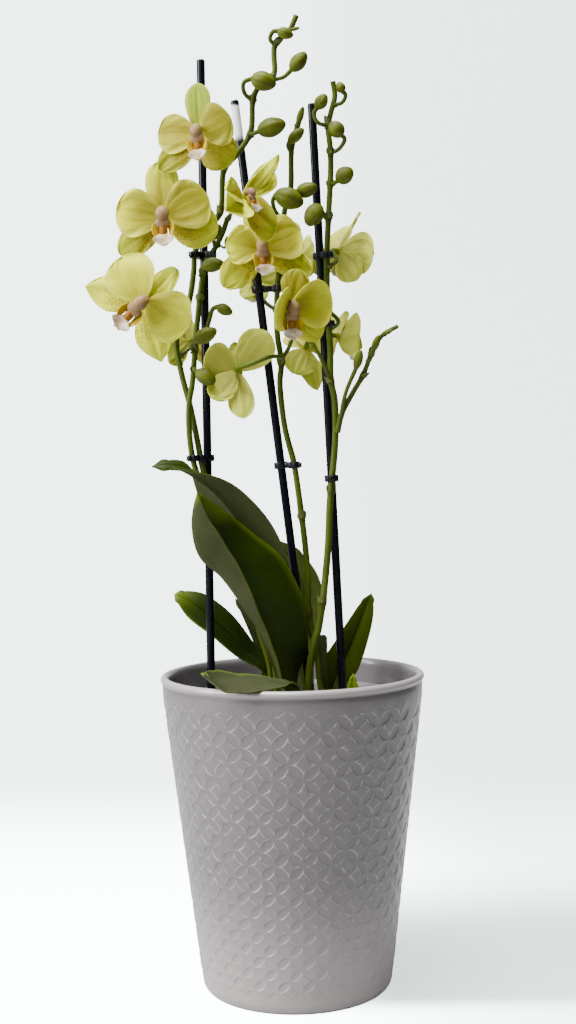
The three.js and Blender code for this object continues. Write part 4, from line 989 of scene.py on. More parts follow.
def tepal_finish(name, tone, deep, green, vein_share, fleck_share=1.0):
    """One face of a tepal: deep near the claw, partly as its own colour and partly as painted shade, green at
    the tip, pale at the rim as a painted glow of light, veined and flecked.
    """
    finish, tree, shader = new_finish(name, Subsurface_Weight=0.15, Subsurface_Scale=0.003,
                                      Subsurface_Radius=(0.8, 0.8, 0.25), Specular_IOR_Level=0.12)
    place = object_place(tree)
    colour = patches(tree, place, 110.0, 0.22, tone, mixed(tone, green, 0.7, 0.3))
    inner = blend(tree, marked(tree, "deep"), colour, deep)
    tinted = blend(tree, marked(tree, "green"), inner, green)
    lines = veins(tree, 9.0, 1.2, 5.0)
    veined = blend(tree, held(tree, "MULTIPLY", lines, vein_share), tinted, mixed(deep, green, 0.5, 0.3))
    # The rim's painted glow of light.
    pale = blend(tree, marked(tree, "pale"), veined, PAINTED_RIM_GLOW)
    some = held(tree, "MULTIPLY", marked(tree, "flecks"), fleck_share)
    flecked = blend(tree, flecks(tree, place, 800.0, 0.5, some), pale, BROWN_FLECK)
    skin = skin_of(tree, place, 1400.0, 0.45, 0.65)
    rise = held(tree, "MULTIPLY_ADD", lines, 0.6, skin["Height"])
    wear(tree, shader, flecked, rise, skin["Roughness"], depth=0.2, strength=0.5)
    return finish


def heart_finish(name, tone, blush, speck_share, gloss=0.4):
    """A piece of a flower's heart, finely specked, and washed with its blush where it is marked."""
    finish, tree, shader = new_finish(name, Subsurface_Weight=0.1, Subsurface_Scale=0.002,
                                      Subsurface_Radius=(0.8, 0.6, 0.4), Specular_IOR_Level=0.15)
    place = object_place(tree)
    colour = patches(tree, place, 220.0, 0.22, tone, blush)
    spotted = blend(tree, flecks(tree, place, 1500.0, 0.3, speck_share), colour, RED_SPECK)
    washed = blend(tree, marked(tree, "tone"), spotted, blush)
    skin = skin_of(tree, place, 1600.0, gloss, gloss + 0.2)
    wear(tree, shader, washed, skin["Height"], skin["Roughness"], depth=0.1, strength=0.35)
    return finish


# ---------------------------------------------------------------- the stage


# The pale paper, in millimetres: where it begins in front, how long it is in all, how far back it starts
# to rise, how long and how round the rise is, and half its width with the place of its middle. Its right
# end lies just outside the picture.
PAPER_FRONT, PAPER_LENGTH, BEND_START, BEND_LENGTH, BEND_RADIUS = -1300, 4900, 900, 1100, 700
PAPER_HALF_WIDTH, PAPER_MIDDLE = 2000, -1050
# The paper's glow is painted light: how bright the wall and the ground look at their left and right,
# brighter at the left as if lit from there, and how bright the pot's painted soft shadow on the ground,
# as shares of the backdrop's colour.
WALL_SHARES, GROUND_SHARES, SHADE_SHARE = (0.235, 0.135), (1.1, 0.25), 0.075
# Where these run into each other: from left to right as a slope from the camera, which stands so far in
# front, and in metres from the ground to the wall and at the front, the back and the left of the painted
# shadow.
SIDEWAYS, CAMERA_FAR, GROUND_TO_WALL = (-0.19, 0.19), 0.86, (0.1, 0.6)
SHADE_FRONT, SHADE_BACK, SHADE_LEFT = (-0.055, -0.025), (0.27, 0.09), (-0.03, 0.06)
# The room: its colour, the strength of its light, and how bright the camera sees it.
ROOM_TONE, ROOM_LIGHT, ROOM_SEEN = (0.93, 0.97, 1.0, 1), 0.08, 3.2
# Where each light stands and where it aims, its width and height in metres, its watts and its colour.
LIGHTS = {
    "window_left": ((-1.4, -0.45, 1.0), (0, 0, 0.3), (0.9, 1.2), 60, (1.0, 0.99, 0.96)),
    "window_right": ((1.5, 0.3, 1.0), (0, 0, 0.25), (0.5, 1.4), 0.8, (0.96, 0.98, 1.0)),
    "ceiling": ((-0.3, -0.35, 1.9), (0, 0, 0), (0.8, 0.8), 84, (1, 1, 1)),
    "wall_wash": ((-0.4, 0.7, 2.4), (-0.2, 1.7, 0.6), (3.0, 1.0), 24, (0.97, 1.0, 1.0)),
    "fill": ((-0.5, -1.9, 1.0), (0, 0, 0.3), (1.4, 1.2), 5, (1, 1, 1)),
}


def add_camera(settings):
    """The camera, tilted down and leaning a little, as it stood for the picture."""
    tilt, roll = settings.camera_tilt, settings.camera_roll
    ahead = Vector((0, math.cos(tilt), -math.sin(tilt)))
    level, above = Vector((1, 0, 0)), Vector((0, math.sin(tilt), math.cos(tilt)))
    right = math.cos(roll) * level + math.sin(roll) * above
    up = -math.sin(roll) * level + math.cos(roll) * above
    camera = add(bpy.ops.object.camera_add, "photo_camera", location=settings.camera_place)
    axes = zip(right, up, -ahead, settings.camera_place)
    camera.matrix_world = Matrix((*axes, (0, 0, 0, 1)))
    camera.data.lens, camera.data.sensor_width = settings.lens, 36
    camera.data.clip_start = 0.01
    bpy.context.scene.camera = camera


def paper_place(u, v):
    """A floor that rises into a wall in one round sweep."""
    run = u * PAPER_LENGTH + PAPER_FRONT
    bend = np.clip((run - BEND_START) / BEND_LENGTH, 0, 1) * math.pi / 2
    depth = np.minimum(run, BEND_START) + BEND_RADIUS * np.sin(bend)
    height = BEND_RADIUS * (1 - np.cos(bend)) + np.maximum(run - BEND_START - BEND_LENGTH, 0)
    return np.c_[PAPER_HALF_WIDTH * v + PAPER_MIDDLE, depth, height]


def paper_finish(settings):
    """Paper with painted light: it looks lit to the camera, brighter at the left and with the pot's shadow
    painted on the ground, and gives the plant only a share of that light.
    """
    finish, tree, shader = new_finish("Pale Backdrop", Specular_IOR_Level=0.2,
                                      Emission_Strength=settings.glow)
    place = object_place(tree)
    colour = patches(tree, place, 2.0, 0.4, lit(settings.paper, 0.46), lit(settings.paper, 0.44))
    skin = skin_of(tree, place, 90.0, 0.6, 0.75)
    wear(tree, shader, colour, skin["Height"], skin["Roughness"], depth=0.05, strength=0.1)
    across, deep, _ = node(tree, "ShaderNodeSeparateXYZ", {0: place}).outputs
    slope = held(tree, "DIVIDE", across, held(tree, "ADD", deep, CAMERA_FAR))
    sideways = ramp(tree, slope, *SIDEWAYS)
    wall, ground = [blend(tree, sideways, *(lit(settings.backdrop, share) for share in shares))
                    for shares in (WALL_SHARES, GROUND_SHARES)]
    paper = blend(tree, ramp(tree, deep, *GROUND_TO_WALL), ground, wall)
    # A painted shadow of the pot, in a soft patch on the ground to its right.
    shade = held(tree, "MULTIPLY", ramp(tree, deep, *SHADE_FRONT), ramp(tree, deep, *SHADE_BACK))
    shade = held(tree, "MULTIPLY", shade, ramp(tree, across, *SHADE_LEFT))
    seen = blend(tree, shade, paper, lit(settings.backdrop, SHADE_SHARE))
    straight = node(tree, "ShaderNodeLightPath").outputs["Is Camera Ray"]
    glow = blend(tree, straight, lit(settings.paper, settings.spill), seen)
    tree.links.new(glow, shader.inputs["Emission Color"])
    # From behind, the paper lets the view through to the plant.
    from_behind = node(tree, "ShaderNodeNewGeometry").outputs["Backfacing"]
    clear = node(tree, "ShaderNodeBsdfTransparent")
    either = node(tree, "ShaderNodeMixShader", {0: from_behind, 1: shader.outputs[0], 2: clear.outputs[0]})
    tree.links.new(either.outputs[0], tree.nodes["Material Output"].inputs["Surface"])
    return finish


def add_light(name, place, aim, size, power, tone):
    """One soft light, a rectangle that aims at a place."""
    light = add(bpy.ops.object.light_add, name, type="AREA", location=place)
    light.rotation_euler = (Vector(aim) - Vector(place)).to_track_quat("-Z", "Y").to_euler()
    light.data.shape = "RECTANGLE"
    light.data.size, light.data.size_y = size
    light.data.energy = power
    light.data.color = tone


def add_room():
    """The room's own dim light, which looks brighter where the camera sees it."""
    world = bpy.data.worlds.new("Soft Room")
    world.use_nodes = True
    room = world.node_tree
    dim, bright = room.nodes["Background"], node(room, "ShaderNodeBackground")
    for background, strength in ((dim, ROOM_LIGHT), (bright, ROOM_SEEN)):
        background.inputs[0].default_value = ROOM_TONE
        background.inputs[1].default_value = strength
    straight = node(room, "ShaderNodeLightPath").outputs["Is Camera Ray"]
    either = node(room, "ShaderNodeMixShader", {0: straight, 1: dim.outputs[0], 2: bright.outputs[0]})
    room.links.new(either.outputs[0], room.nodes["World Output"].inputs["Surface"])
    bpy.context.scene.world = world


def model_stage(settings):
    add_camera(settings)
    floor, _, _ = sheet("pale_floor", 90, 4, paper_place)
    dress(floor, paper_finish(settings))
    smooth_shade(floor)
    for name, values in LIGHTS.items():
        add_light(name, *values)
    add_room()


# ---------------------------------------------------------------- pots and bark


# How far the pattern is turned round the pot at its top row, and more with each row below, in degrees.
TURN_AT_TOP, TURN_PER_ROW = -2.2, -2.4 / 22
# The height of the top row of diamonds, how many rows there are, how tall a row is beside its diamonds'
# width, and how tall the rows above the top one would be.
TOP_ROW, ROWS, ROW_SHARE, ROW_ABOVE = 166.1, 23, 0.98, 8.6
# The heights between which the pattern rises from the plain foot, and ends under the bead.
PATTERN_FOOT, PATTERN_TOP = (9.0, 15.0), (168.2, 170.2)
# The diamond's raised edge and its hollow middle: how far inside its outline each begins and is full,
# in half columns, and how deep the hollow is beside the edge.
RAISED_EDGE, HOLLOW, HOLLOW_SHARE = (-0.03, 0.09), (0.12, 0.3), 0.12
# How round the foot's corner is: its height and how far it goes in.
CORNER_HEIGHT, CORNER_IN = 6.0, 5
# The lowest and the highest place of the plain wall, and the top of the pot's floor.
WALL_FOOT, WALL_TOP, POT_FLOOR = 5.0, 170.0, 6.0


def diamond_relief(across, row):
    """Overlapping circles: how high the concave diamond between four petals stands, 0 to 1.

    across counts half columns and row counts half rows, so circles of radius 1 have their
    middles where the sum of the two is even.
    """
    too_far = 9.0
    first = np.full(across.shape, too_far)
    second = first.copy()
    for step_across in range(-2, 3):
        for step_up in range(-2, 3):
            column, line = np.round(across) + step_across, np.round(row) + step_up
            far = np.where((column + line) % 2 == 0, np.hypot(across - column, row - line), too_far)
            second = np.minimum(second, np.maximum(first, far))
            first = np.minimum(first, far)
    inside = second - 1
    return ease(inside, *RAISED_EDGE) - HOLLOW_SHARE * ease(inside, *HOLLOW)


def wall_radius(settings, z):
    """How far the outside of the wall lies from the pot's middle line at a height."""
    foot, shoulder = settings.foot_radius / MM, settings.shoulder_radius / MM
    return foot + (shoulder - foot) * z / (settings.shoulder_height / MM)


def pattern_rows(settings):
    """The heights of the rows of diamonds, which get smaller towards the foot as the pot narrows."""
    rows = [TOP_ROW]
    while len(rows) < ROWS:
        rows.append(rows[-1] - ROW_SHARE * math.pi * wall_radius(settings, rows[-1]) / settings.columns)
    return rows


def pot_side(settings, rows):
    """The outside from the foot's round corner to the bead, with eight steps to each row of diamonds."""
    side = []
    for z in (0, 0.4, 1, 2, 3.2, 4.6):
        inset = CORNER_IN * (1 - math.sqrt(max(0, 1 - ((CORNER_HEIGHT - z) / CORNER_HEIGHT) ** 2)))
        side.append((wall_radius(settings, z) - inset, z))
    last = ROWS - 1
    levels = np.interp(np.linspace(last, 0, 8 * last + 1), range(ROWS), rows)
    return side + [(wall_radius(settings, z), z) for z in levels if WALL_FOOT < z < WALL_TOP]


def pot_profile(settings, side):
    """The outline from the foot's middle, up the outside, over the bead and down to the floor's middle."""
    foot, shoulder = settings.foot_radius / MM, settings.shoulder_radius / MM
    shoulder_z, top = settings.shoulder_height / MM, settings.height / MM
    rim, wall = settings.rim_radius / MM, settings.wall / MM
    groove = [(0, 0.6), (0, 2.4), (-0.05, 3.4), (-0.1, 4.0), (-0.1, 4.4), (0.1, 4.9)]
    bead = [(-0.4, 5.6), (0, 6.4), (0, 7.1), (-0.4, 8.0)]
    lip = [(-1.1, -0.35), (-2.1, 0), (-3.3, -0.3), (-4.2, -1.1), (-4.7, -2.4), (-4.95, -4.5)]
    floor_radius = wall_radius(settings, POT_FLOOR) - wall
    return np.array([
        (0, 0.6), (foot - 12, 0.6), (foot - 9, 0), *side, (wall_radius(settings, WALL_TOP), WALL_TOP),
        *((shoulder + out, shoulder_z + up) for out, up in groove),
        *((rim + out, shoulder_z + up) for out, up in bead), *((rim + out, top + up) for out, up in lip),
        *((wall_radius(settings, z) - wall, z) for z in np.linspace(shoulder_z - 1, POT_FLOOR + 5, 14)),
        (floor_radius - 2, POT_FLOOR + 0.6), (floor_radius - 6, POT_FLOOR), (0, POT_FLOOR),
    ])


def lathe(name, profile, around, relief=None, marks=None):
    """A profile of [radius, height] turned round the pot's middle line, with a relief on its outside."""
    profile = np.array(profile, float)

    def place(u, v):
        at = u * (len(profile) - 1)
        radius, z = [np.interp(at, range(len(profile)), profile[:, k]) for k in range(2)]
        if relief:
            radius = radius + relief(at, v, z)
        return np.c_[radius * np.sin(v * math.pi), -radius * np.cos(v * math.pi), z]

    piece, _, _ = sheet(name, len(profile) - 1, around, place)
    for mark_name, values in (marks or {}).items():
        mark(piece, mark_name, values)
    close_seam(piece)
    return piece


def model_outer_pot(settings):
    columns, shoulder_z = settings.columns, settings.shoulder_height / MM
    rows = pattern_rows(settings)
    side = pot_side(settings, rows)
    profile = pot_profile(settings, side)
    # Counted along the profile: where the wall ends, and where the bead has gone over to the inside.
    wall_end, bead_end = len(side), len(side) + 15

    marks = {}

    def relief(at, v, z):
        """The diamonds, and what the glaze reads of them."""
        row = np.interp(-z, [-r for r in rows], range(ROWS)) + np.minimum(0, rows[0] - z) / ROW_ABOVE
        drift = np.radians(TURN_AT_TOP + TURN_PER_ROW * row)
        height = diamond_relief((v * math.pi - drift) * columns / math.pi, row)
        outside = (at > 2) & (at < wall_end + 3)
        share = ease(z, *PATTERN_FOOT) * (1 - ease(z, *PATTERN_TOP)) * outside
        # The marked tone pales the glaze: on the bead partly as thin glaze and partly as a painted highlight
        # from above, a little inside the pot as painted light, and more and more towards the foot.
        bead_thin_and_lit = 0.9 * ease(z, shoulder_z + 4.2, shoulder_z + 6.4) * (at < bead_end)
        foot_pale = (1 - ease(z, 4, 85)) * (at < wall_end)
        marks.update(tone=bead_thin_and_lit + 0.1 * (at >= bead_end) + foot_pale, row=row, share=share)
        return settings.relief / MM * (height - 0.35) * share

    pot = lathe("outer_pot_glazed", profile, 16 * columns, relief, marks)
    dress(pot, glaze_finish(settings))
    hand_in(pot, "pot_glaze", "outer_pot", degrees=70)


# The grow pot: the heights of its foot and rim, its wall, and the radius of its wall at two heights.
GROW_FOOT, GROW_RIM, GROW_WALL = 6.3, 167.0, 1.2
GROW_HEIGHTS, GROW_RADII = (6, 167.0), (44, 60)


def model_grow_pot(settings):
    low, high = np.interp([GROW_FOOT, GROW_RIM - 3], GROW_HEIGHTS, GROW_RADII)
    outside = [(low + (high - low) * t, GROW_FOOT + 1.5 + (GROW_RIM - 4.5 - GROW_FOOT) * t)
               for t in np.linspace(0, 1, 12)]
    inside = [(r - GROW_WALL, max(z, GROW_FOOT + 2.2)) for r, z in reversed(outside)]
    lip = [(61.2, -3), (61.9, -2.6), (62, -1.4), (61.7, -0.3), (61, 0), (60, -0.2), (59.2, -1)]
    profile = [(0, GROW_FOOT), (low - 2, GROW_FOOT), (low - 0.5, GROW_FOOT + 0.4), *outside,
               *((r, GROW_RIM + up) for r, up in lip), *inside,
               (low - 2.5, GROW_FOOT + 1.4), (0, GROW_FOOT + 1.4)]

    def flutes(at, v, z):
        """Thirty shallow upright flutes round the wall, between the foot and the lip."""
        return 0.25 * np.cos(30 * math.pi * v) * ease(at, 3, 6) * (1 - ease(at, 11, 14))

    pot = lathe("grow_pot_moulded", profile, 180, flutes)
    dress(pot, moulded_finish("Grow Pot Plastic", tuple(settings.grow_pot), 0.35))
    hand_in(pot, "grow_pot", "grow_pot")


# The bark: the height of its middle, how far it falls to its edge, its radius and the height of its foot.
BARK_TOP, BARK_FALL, BARK_RADIUS, BARK_FOOT = 151.5, 1.2, 57, 7.8
# How far from the middle chips lie, the heights that they lie at, and their least and greatest sizes.
CHIPS_REACH, CHIP_HEIGHTS, CHIP_SIZES = 54, (151, 154), ((6, 13), (4, 8), (2, 4))
# How far round a stake, a spike, a crown and a leaf the chips keep clear.
CLEAR_OF_STAKE, CLEAR_OF_SPIKE, CLEAR_OF_CROWN, CLEAR_OF_LEAF = 4.0, 3.5, 8.0, 6.0


def standing_places():
    """Where something stands in the bark, and how far round it the chips keep clear."""
    places = [(stake_line(stake)[1], CLEAR_OF_STAKE) for stake in STAKES.values()]
    places += [(spike["route"][1], CLEAR_OF_SPIKE) for spike in SPIKES.values()]
    places += [(crown["foot"], CLEAR_OF_CROWN) for crown in CROWNS.values()]
    places += [(rib[0], CLEAR_OF_LEAF) for rib, _, _ in LEAVES.values()]
    return places


def rough_chip():
    """A block with bevelled edges, which each chip is a copy of."""
    chip = add(bpy.ops.mesh.primitive_cube_add, "chip", size=1)
    edit_all(chip, bpy.ops.mesh.subdivide, number_cuts=1)
    apply_modifier(chip, "BEVEL", width=0.12, segments=1)
    return chip


def model_bark(settings):
    bumps = wave("bark", (0.08, 0.25), 5)
    surface = [(r, BARK_TOP - BARK_FALL * (r / BARK_RADIUS) ** 2)
               for r in np.linspace(BARK_RADIUS + 0.2, 0, 20)]
    base = lathe("bark_bed", [(0, BARK_FOOT), (42, BARK_FOOT), *surface], 90)
    points = points_of(base) / MM
    high = points[:, 2] > 140
    points[high, 2] += 0.9 * bumps(points[high, 0]) + 0.9 * bumps(2 * points[high, 1] + 3)
    move_points(base, points)
    mark(base, "tone", 1.0)

    chip = rough_chip()
    shape = points_of(chip)
    clear = standing_places()
    chips = [base]
    chance = random.Random(11)
    for _ in range(settings.chips):
        far, turn = CHIPS_REACH * math.sqrt(chance.random()), chance.uniform(0, 2 * math.pi)
        x, y = far * math.cos(turn), far * math.sin(turn)
        if any(math.hypot(x - place[0], y - place[1]) < keep + 3 for place, keep in clear):
            continue
        size = np.array([chance.uniform(*sizes) for sizes in CHIP_SIZES])
        rough = np.array([[chance.uniform(-0.12, 0.12) for _ in range(3)] for _ in shape])
        turned = Matrix.Rotation(chance.uniform(0, FULL_TURN), 3, "Z")
        lean = turned @ Matrix.Rotation(chance.uniform(-0.45, 0.45), 3, "X")
        made = chip.copy()
        made.data = chip.data.copy()
        bpy.context.collection.objects.link(made)
        move_points(made, ((shape + rough) * size) @ np.array(lean).T + [x, y, chance.uniform(*CHIP_HEIGHTS)])
        mark(made, "tone", chance.uniform(0.2, 1))
        chips.append(made)
    bpy.data.objects.remove(chip)
    bark = join(chips, "bark_chips")
    dress(bark, bark_finish(settings))
    hand_in(bark, "bark", "bark_medium", degrees=35)


# ---------------------------------------------------------------- stakes and clips


# How far down the stakes stand in the bark.
STAKE_FOOT = 112.0
# Heights in millimetres between which a stake is pale white, with where the paleness comes in and goes out,
# and its colour.
PALE_STRETCHES = {"middle": (483, 488, 503.4, 504.2)}
PALE_STRETCH_TONE = (0.8, 0.83, 0.88)


def stake_line(stake):
    """A stake's two ends, with the lower one carried down into the bark."""
    top, low = np.array(stake["top"], float), np.array(stake["foot"], float)
    foot = top + (low - top) * (top[2] - STAKE_FOOT) / (top[2] - low[2])
    return foot, top


def at_height(row, height):
    """The place at a height on a row of points that goes up."""
    row = np.asarray(row, float)
    above = int(np.argmax(row[:, 2] > height))
    low, high = row[above - 1], row[above]
    return low + (high - low) * (height - low[2]) / (high[2] - low[2])


def frame_along(axis, hint=(0, 1, 0)):
    """Three unit vectors, the last along the axis."""
    axis = unit(axis)
    side = unit(np.cross(hint, axis))
    return np.column_stack([side, np.cross(axis, side), axis])


def model_stakes(settings):
    finish = moulded_finish("Stake Plastic", tuple(settings.plastic), 0.16, shine=0.22, pale_stretch=PALE_STRETCH_TONE)
    radius = settings.stake_radius / MM
    radii = radius * np.r_[0.85, np.ones(81), 0.97, 0.86, 0.6]
    for name, stake in STAKES.items():
        foot, top = stake_line(stake)
        run = np.linalg.norm(top - foot)
        steps = np.r_[0, 0.4, np.linspace(2, run - 26, 50), np.linspace(run - 25, run - 1.4, 30),
                      run - 0.7, run - 0.25, run]
        bow = wave(name, (0.01, 0.02))
        line = foot + (top - foot) * (steps / run)[:, None]
        line[:, 0] += 0.15 * bow(steps) * np.sin(math.pi * steps / run)
        piece = tube(f"stake_{name}_smooth", line, radii, 8)
        pale_stretch = np.zeros(len(piece.data.vertices))
        if name in PALE_STRETCHES:
            height = points_of(piece)[:, 2] / MM
            pale_stretch = ease(height, *PALE_STRETCHES[name][:2]) * (1 - ease(height, *PALE_STRETCHES[name][2:]))
        mark(piece, "pale_stretch", pale_stretch)
        dress(piece, finish)
        hand_in(piece, "black_plastic", f"stake_{name}")


# A clip's ring has this many sides, and teeth so high on the ring round the stem.
RING_SIDES, TOOTH = 48, 0.35
# How far the ring round the stake and the ring round the stem stand off what they hold.
STAKE_SLACK, STEM_SLACK = 0.1, 0.25
# Half the way between the two bars of a clip, their thickness, and the thickness of its tab.
BARS_APART, BAR_THICK, TAB_THICK = 1.5, 1.0, 2.4


def band(name, centre, axes, inner, wall, height, notch=0):
    """A flat ring, with small teeth round its outside where notch is more than 0."""
    ring = add(bpy.ops.mesh.primitive_cylinder_add, name, vertices=RING_SIDES, radius=1, depth=1,
               end_fill_type="NOTHING")
    flat = points_of(ring)
    turn = np.arctan2(flat[:, 1], flat[:, 0])
    out = inner + wall / 2 + notch * (np.round(turn / (2 * math.pi / RING_SIDES)) % 2)
    local = np.c_[np.cos(turn) * out, np.sin(turn) * out, flat[:, 2] * height]
    move_points(ring, local @ axes.T + centre)
    apply_modifier(ring, "SOLIDIFY", thickness=wall * MM, offset=0)
    apply_modifier(ring, "BEVEL", width=0.25 * MM, segments=2, limit_method="ANGLE",
                   angle_limit=math.radians(40))
    return ring


def bar_between(name, start, end, axes, thick, height):
    """A flat bar with rounded edges between two points."""
    bar = add(bpy.ops.mesh.primitive_cube_add, name, size=1)
    local = points_of(bar)
    along = end - start
    out = unit(along)
    sideways = unit(np.cross(axes[:, 2], out))
    move_points(bar, start + (local[:, :1] + 0.5) * along + local[:, 1:2] * thick * sideways
                + local[:, 2:] * height * np.cross(out, sideways))
    turn_outwards(bar)
    apply_modifier(bar, "BEVEL", width=0.3 * MM, segments=2)
    return bar


def model_clips(settings):
    """The clips: a band round the stake, a toothed ring round each stem, two bars and a tab."""
    finish = moulded_finish("Clip Plastic", tuple(settings.plastic), 0.22, shine=0.25)
    stake_r, wall, tall = settings.stake_radius / MM, settings.clip_wall / MM, settings.clip_height / MM
    for name, (side, height, spikes) in CLIPS.items():
        foot, top = stake_line(STAKES[side])
        axes = frame_along(top - foot)
        middle = at_height([foot, top], height)
        parts = [band(name, middle, axes, stake_r + STAKE_SLACK, wall, tall)]
        for spike in spikes:
            stem = at_height(SPIKES[spike]["route"], height)
            out = unit(stem - middle)
            ring = frame_along(axes[:, 2] - out * axes[:, 2] @ out)
            inner = SPIKES[spike]["radii"][0] + STEM_SLACK
            parts.append(band(name, stem, ring, inner, wall * 0.8, tall * 0.95, notch=TOOTH))
            near, far = middle + out * (stake_r + 0.6), stem - out * (inner + 0.4)
            if np.linalg.norm(far - middle) > stake_r + 1.2:
                apart = unit(np.cross(out, axes[:, 2])) * BARS_APART
                for shift in (-apart, apart):
                    parts.append(bar_between(name, near + shift, far + shift, axes, BAR_THICK, tall * 0.85))
            tab = stem + out * (inner + wall)
            parts.append(bar_between(name, tab - out * 0.4, tab + out * 1.1, axes, TAB_THICK, tall * 0.7))
        clip = join(parts, f"{name}_moulded")
        dress(clip, finish)
        hand_in(clip, "black_plastic", name, degrees=35)


# ---------------------------------------------------------------- crowns and leaves


# The height that the dry sheaths at a crown's foot stand at, how many there are, and how tall they are.
SHEATHS_AT, SHEATHS, SHEATH_TALL = 150, 4, 14


def model_crowns(settings):
    young = tuple(settings.leaf_young)
    finish = leaf_finish("Leaf Sheaths", lit(settings.leaf_under, 0.8), young, 0.45, 0.3, 1.5)
    dry = stem_finish("Dry Sheaths", (0.2, 0.16, 0.07), 0.7)
    for name, spec in CROWNS.items():
        foot, top, radius = np.array(spec["foot"], float), np.array(spec["top"], float), spec["radius"]
        drift = wave(name, (1, 3))

        def stub(points):
            t = (points[:, 2] + 1) / 2
            turn = np.arctan2(points[:, 1], points[:, 0])
            swell = radius * (0.85 + 0.15 * np.sin(3 * turn) + 0.1 * np.sin(18 * t)) * (1 - 0.25 * t**3)
            ring = np.hypot(points[:, 0], points[:, 1]) ** 0.45
            return np.c_[foot[0] + np.cos(turn) * swell * ring + 0.6 * drift(3 * t),
                         foot[1] + np.sin(turn) * swell * ring, foot[2] + (top[2] - foot[2]) * t]

        body, _ = ball(name, stub, 28, 20)
        mark(body, "pale", 0.15)
        dress(body, finish, dry)
        parts = [body]
        for turn in range(SHEATHS):
            face = 1.4 * turn + 0.4

            def scale(u, v, face=face, turn=turn):
                width = (1 - u**2.2) * 1.15
                out = radius + 0.5 + 0.4 * turn + 1.2 * u**2
                angle = face + v * width
                return np.c_[foot[0] + np.cos(angle) * out, foot[1] + np.sin(angle) * out,
                             SHEATHS_AT - 2 * turn + SHEATH_TALL * u]

            husk, u, v = sheet(name, 10, 8, scale)
            mark(husk, "young", 0.3 * (1 - u))
            dress_in_one(husk, 1, (finish, dry))
            thicken(husk, 0.5, 1 - np.abs(v))
            parts.append(husk)
        crown = join(parts, f"{name}_sheaths")
        hand_in(crown, "leaf", name)


# How high a leaf's halves arch beside their width, how deep the channel along the rib is and how wide
# as a share of a half, and how far the edges ripple.
ARCH, CHANNEL, CHANNEL_WIDTH, LEAF_RIPPLE = 0.09, 0.5, 0.07, 0.5


def leaf_place(rib, near, far, look):
    """The middle surface of a leaf: a rib, two edges, and halves that arch a little between them."""
    edge_wave = wave(str(rib[0]), (4, 9))
    arch_way = -1 if look["flip"] else 1
    roundness, sag, lift, crest = (look.get(key, usual) for key, usual in
                                   (("round", 0.35), ("sag", 0.0), ("lift", 0.0), ("crest", 0.0)))

    def place(u, v):
        u = 0.998 * (1 - (1 - u) ** 1.25)
        middle = smooth_line(rib, u)
        edge = np.where((v < 0)[:, None], smooth_line(near, u), smooth_line(far, u))
        ahead = smooth_line(rib, np.minimum(u + 0.01, 1)) - smooth_line(rib, np.maximum(u - 0.01, 0))
        upward = units(np.cross(smooth_line(far, u) - smooth_line(near, u), ahead))
        last = 1 / (len(rib) - 1)
        rounder = 1 + roundness * np.sin(math.pi * np.clip((u - 1) / last + 1, 0, 1))
        edge = middle + (edge - middle) * rounder[:, None]
        reach = np.linalg.norm(edge - middle, axis=1)
        s = np.abs(v)
        channel = CHANNEL * np.exp(-((s / CHANNEL_WIDTH) ** 2)) * ease(reach, 1, 6)
        arch = ARCH * reach * np.sin(math.pi * s**0.8) - channel
        ripple = LEAF_RIPPLE * edge_wave(6 * u + np.sign(v)) * ease(s, 0.5, 1) * ease(reach, 3, 9)
        raised = lift * ease(u, 0.1, 0.5) + crest * s * (v > 0) * ease(u, 0.1, 0.5) * (1 - ease(u, 0.7, 0.95))
        hanging = sag * s**1.2 * (v < 0) * ease(u, 0.1, 0.6) * (1 - ease(u, 0.68, 1.0))
        return (middle + (edge - middle) * s[:, None] + upward * (arch_way * arch + ripple)[:, None]
                + raised[:, None] * np.array([0, 0, 1.0]) - hanging[:, None] * np.array([0, 0.35, 1.0]))

    return place


def young_share(look, u, v):
    """How far each point of a leaf has gone yellow green: at its tip, its edges and over all of it."""
    start, strength = look["tip"]
    young = strength * ease(u, start, 1.0)
    for edge, side in zip(look["edges"], (-v, v)):
        young = np.maximum(young, edge * ease(side, 0.86, 1.0) * ease(u, 0.15, 0.55))
    glow = look.get("glow", 0) * ease(u + 0.1 * v, 0.78, 0.92) * ease(v, -0.02, 0.05)
    return np.maximum.reduce([young, glow, np.full(len(u), look["wash"])])


def model_leaves(settings):
    young = tuple(settings.leaf_young)
    upper = leaf_finish("Leaf Upper Face", tuple(settings.leaf_upper), young, 0.36, 0.1, 1.8)
    under = leaf_finish("Leaf Underside", tuple(settings.leaf_under), young, 0.55, 0.15, 0.8)
    margin = leaf_finish("Leaf Margin", lit(young, 0.3), young, 0.45, 0.1, 1.2)
    for name, lines in LEAVES.items():
        look = LEAF_LOOKS[name]
        blade, u, v = sheet(f"{name}_blade", 90, 28, leaf_place(*lines, look))
        mark(blade, "young", young_share(look, u, v))
        mark(blade, "pale", look.get("base", 0.04) * (1 - ease(u, 0.2, 0.45)))
        faces = (under, upper) if look["flip"] else (upper, under)
        dress(blade, *faces, margin)
        body = (1 - np.abs(v) ** 3) * (1 - 0.6 * ease(u, 0.9, 1))
        thicken(blade, settings.leaf_thickness / MM, body, 0.3, back=1, rim=2)
        hand_in(blade, "leaf", name)


# ---------------------------------------------------------------- flowers


def tepal_width(u, claw, widest, point):
    """How wide a tepal is along its length, from its narrow claw to a round or pointed tip."""
    low = np.sin((math.pi / 2) * np.clip(u / widest, 0, 1)) ** 0.8
    past = np.clip((u - widest) / (1 - widest), 0, 1)
    high = np.maximum(0.004, 1 - past ** (2.2 - 0.5 * point)) ** (0.55 + 0.4 * point)
    swell = np.where(u < widest, low, high)
    return claw * (1 - u) + (1 - claw * (1 - u)) * swell


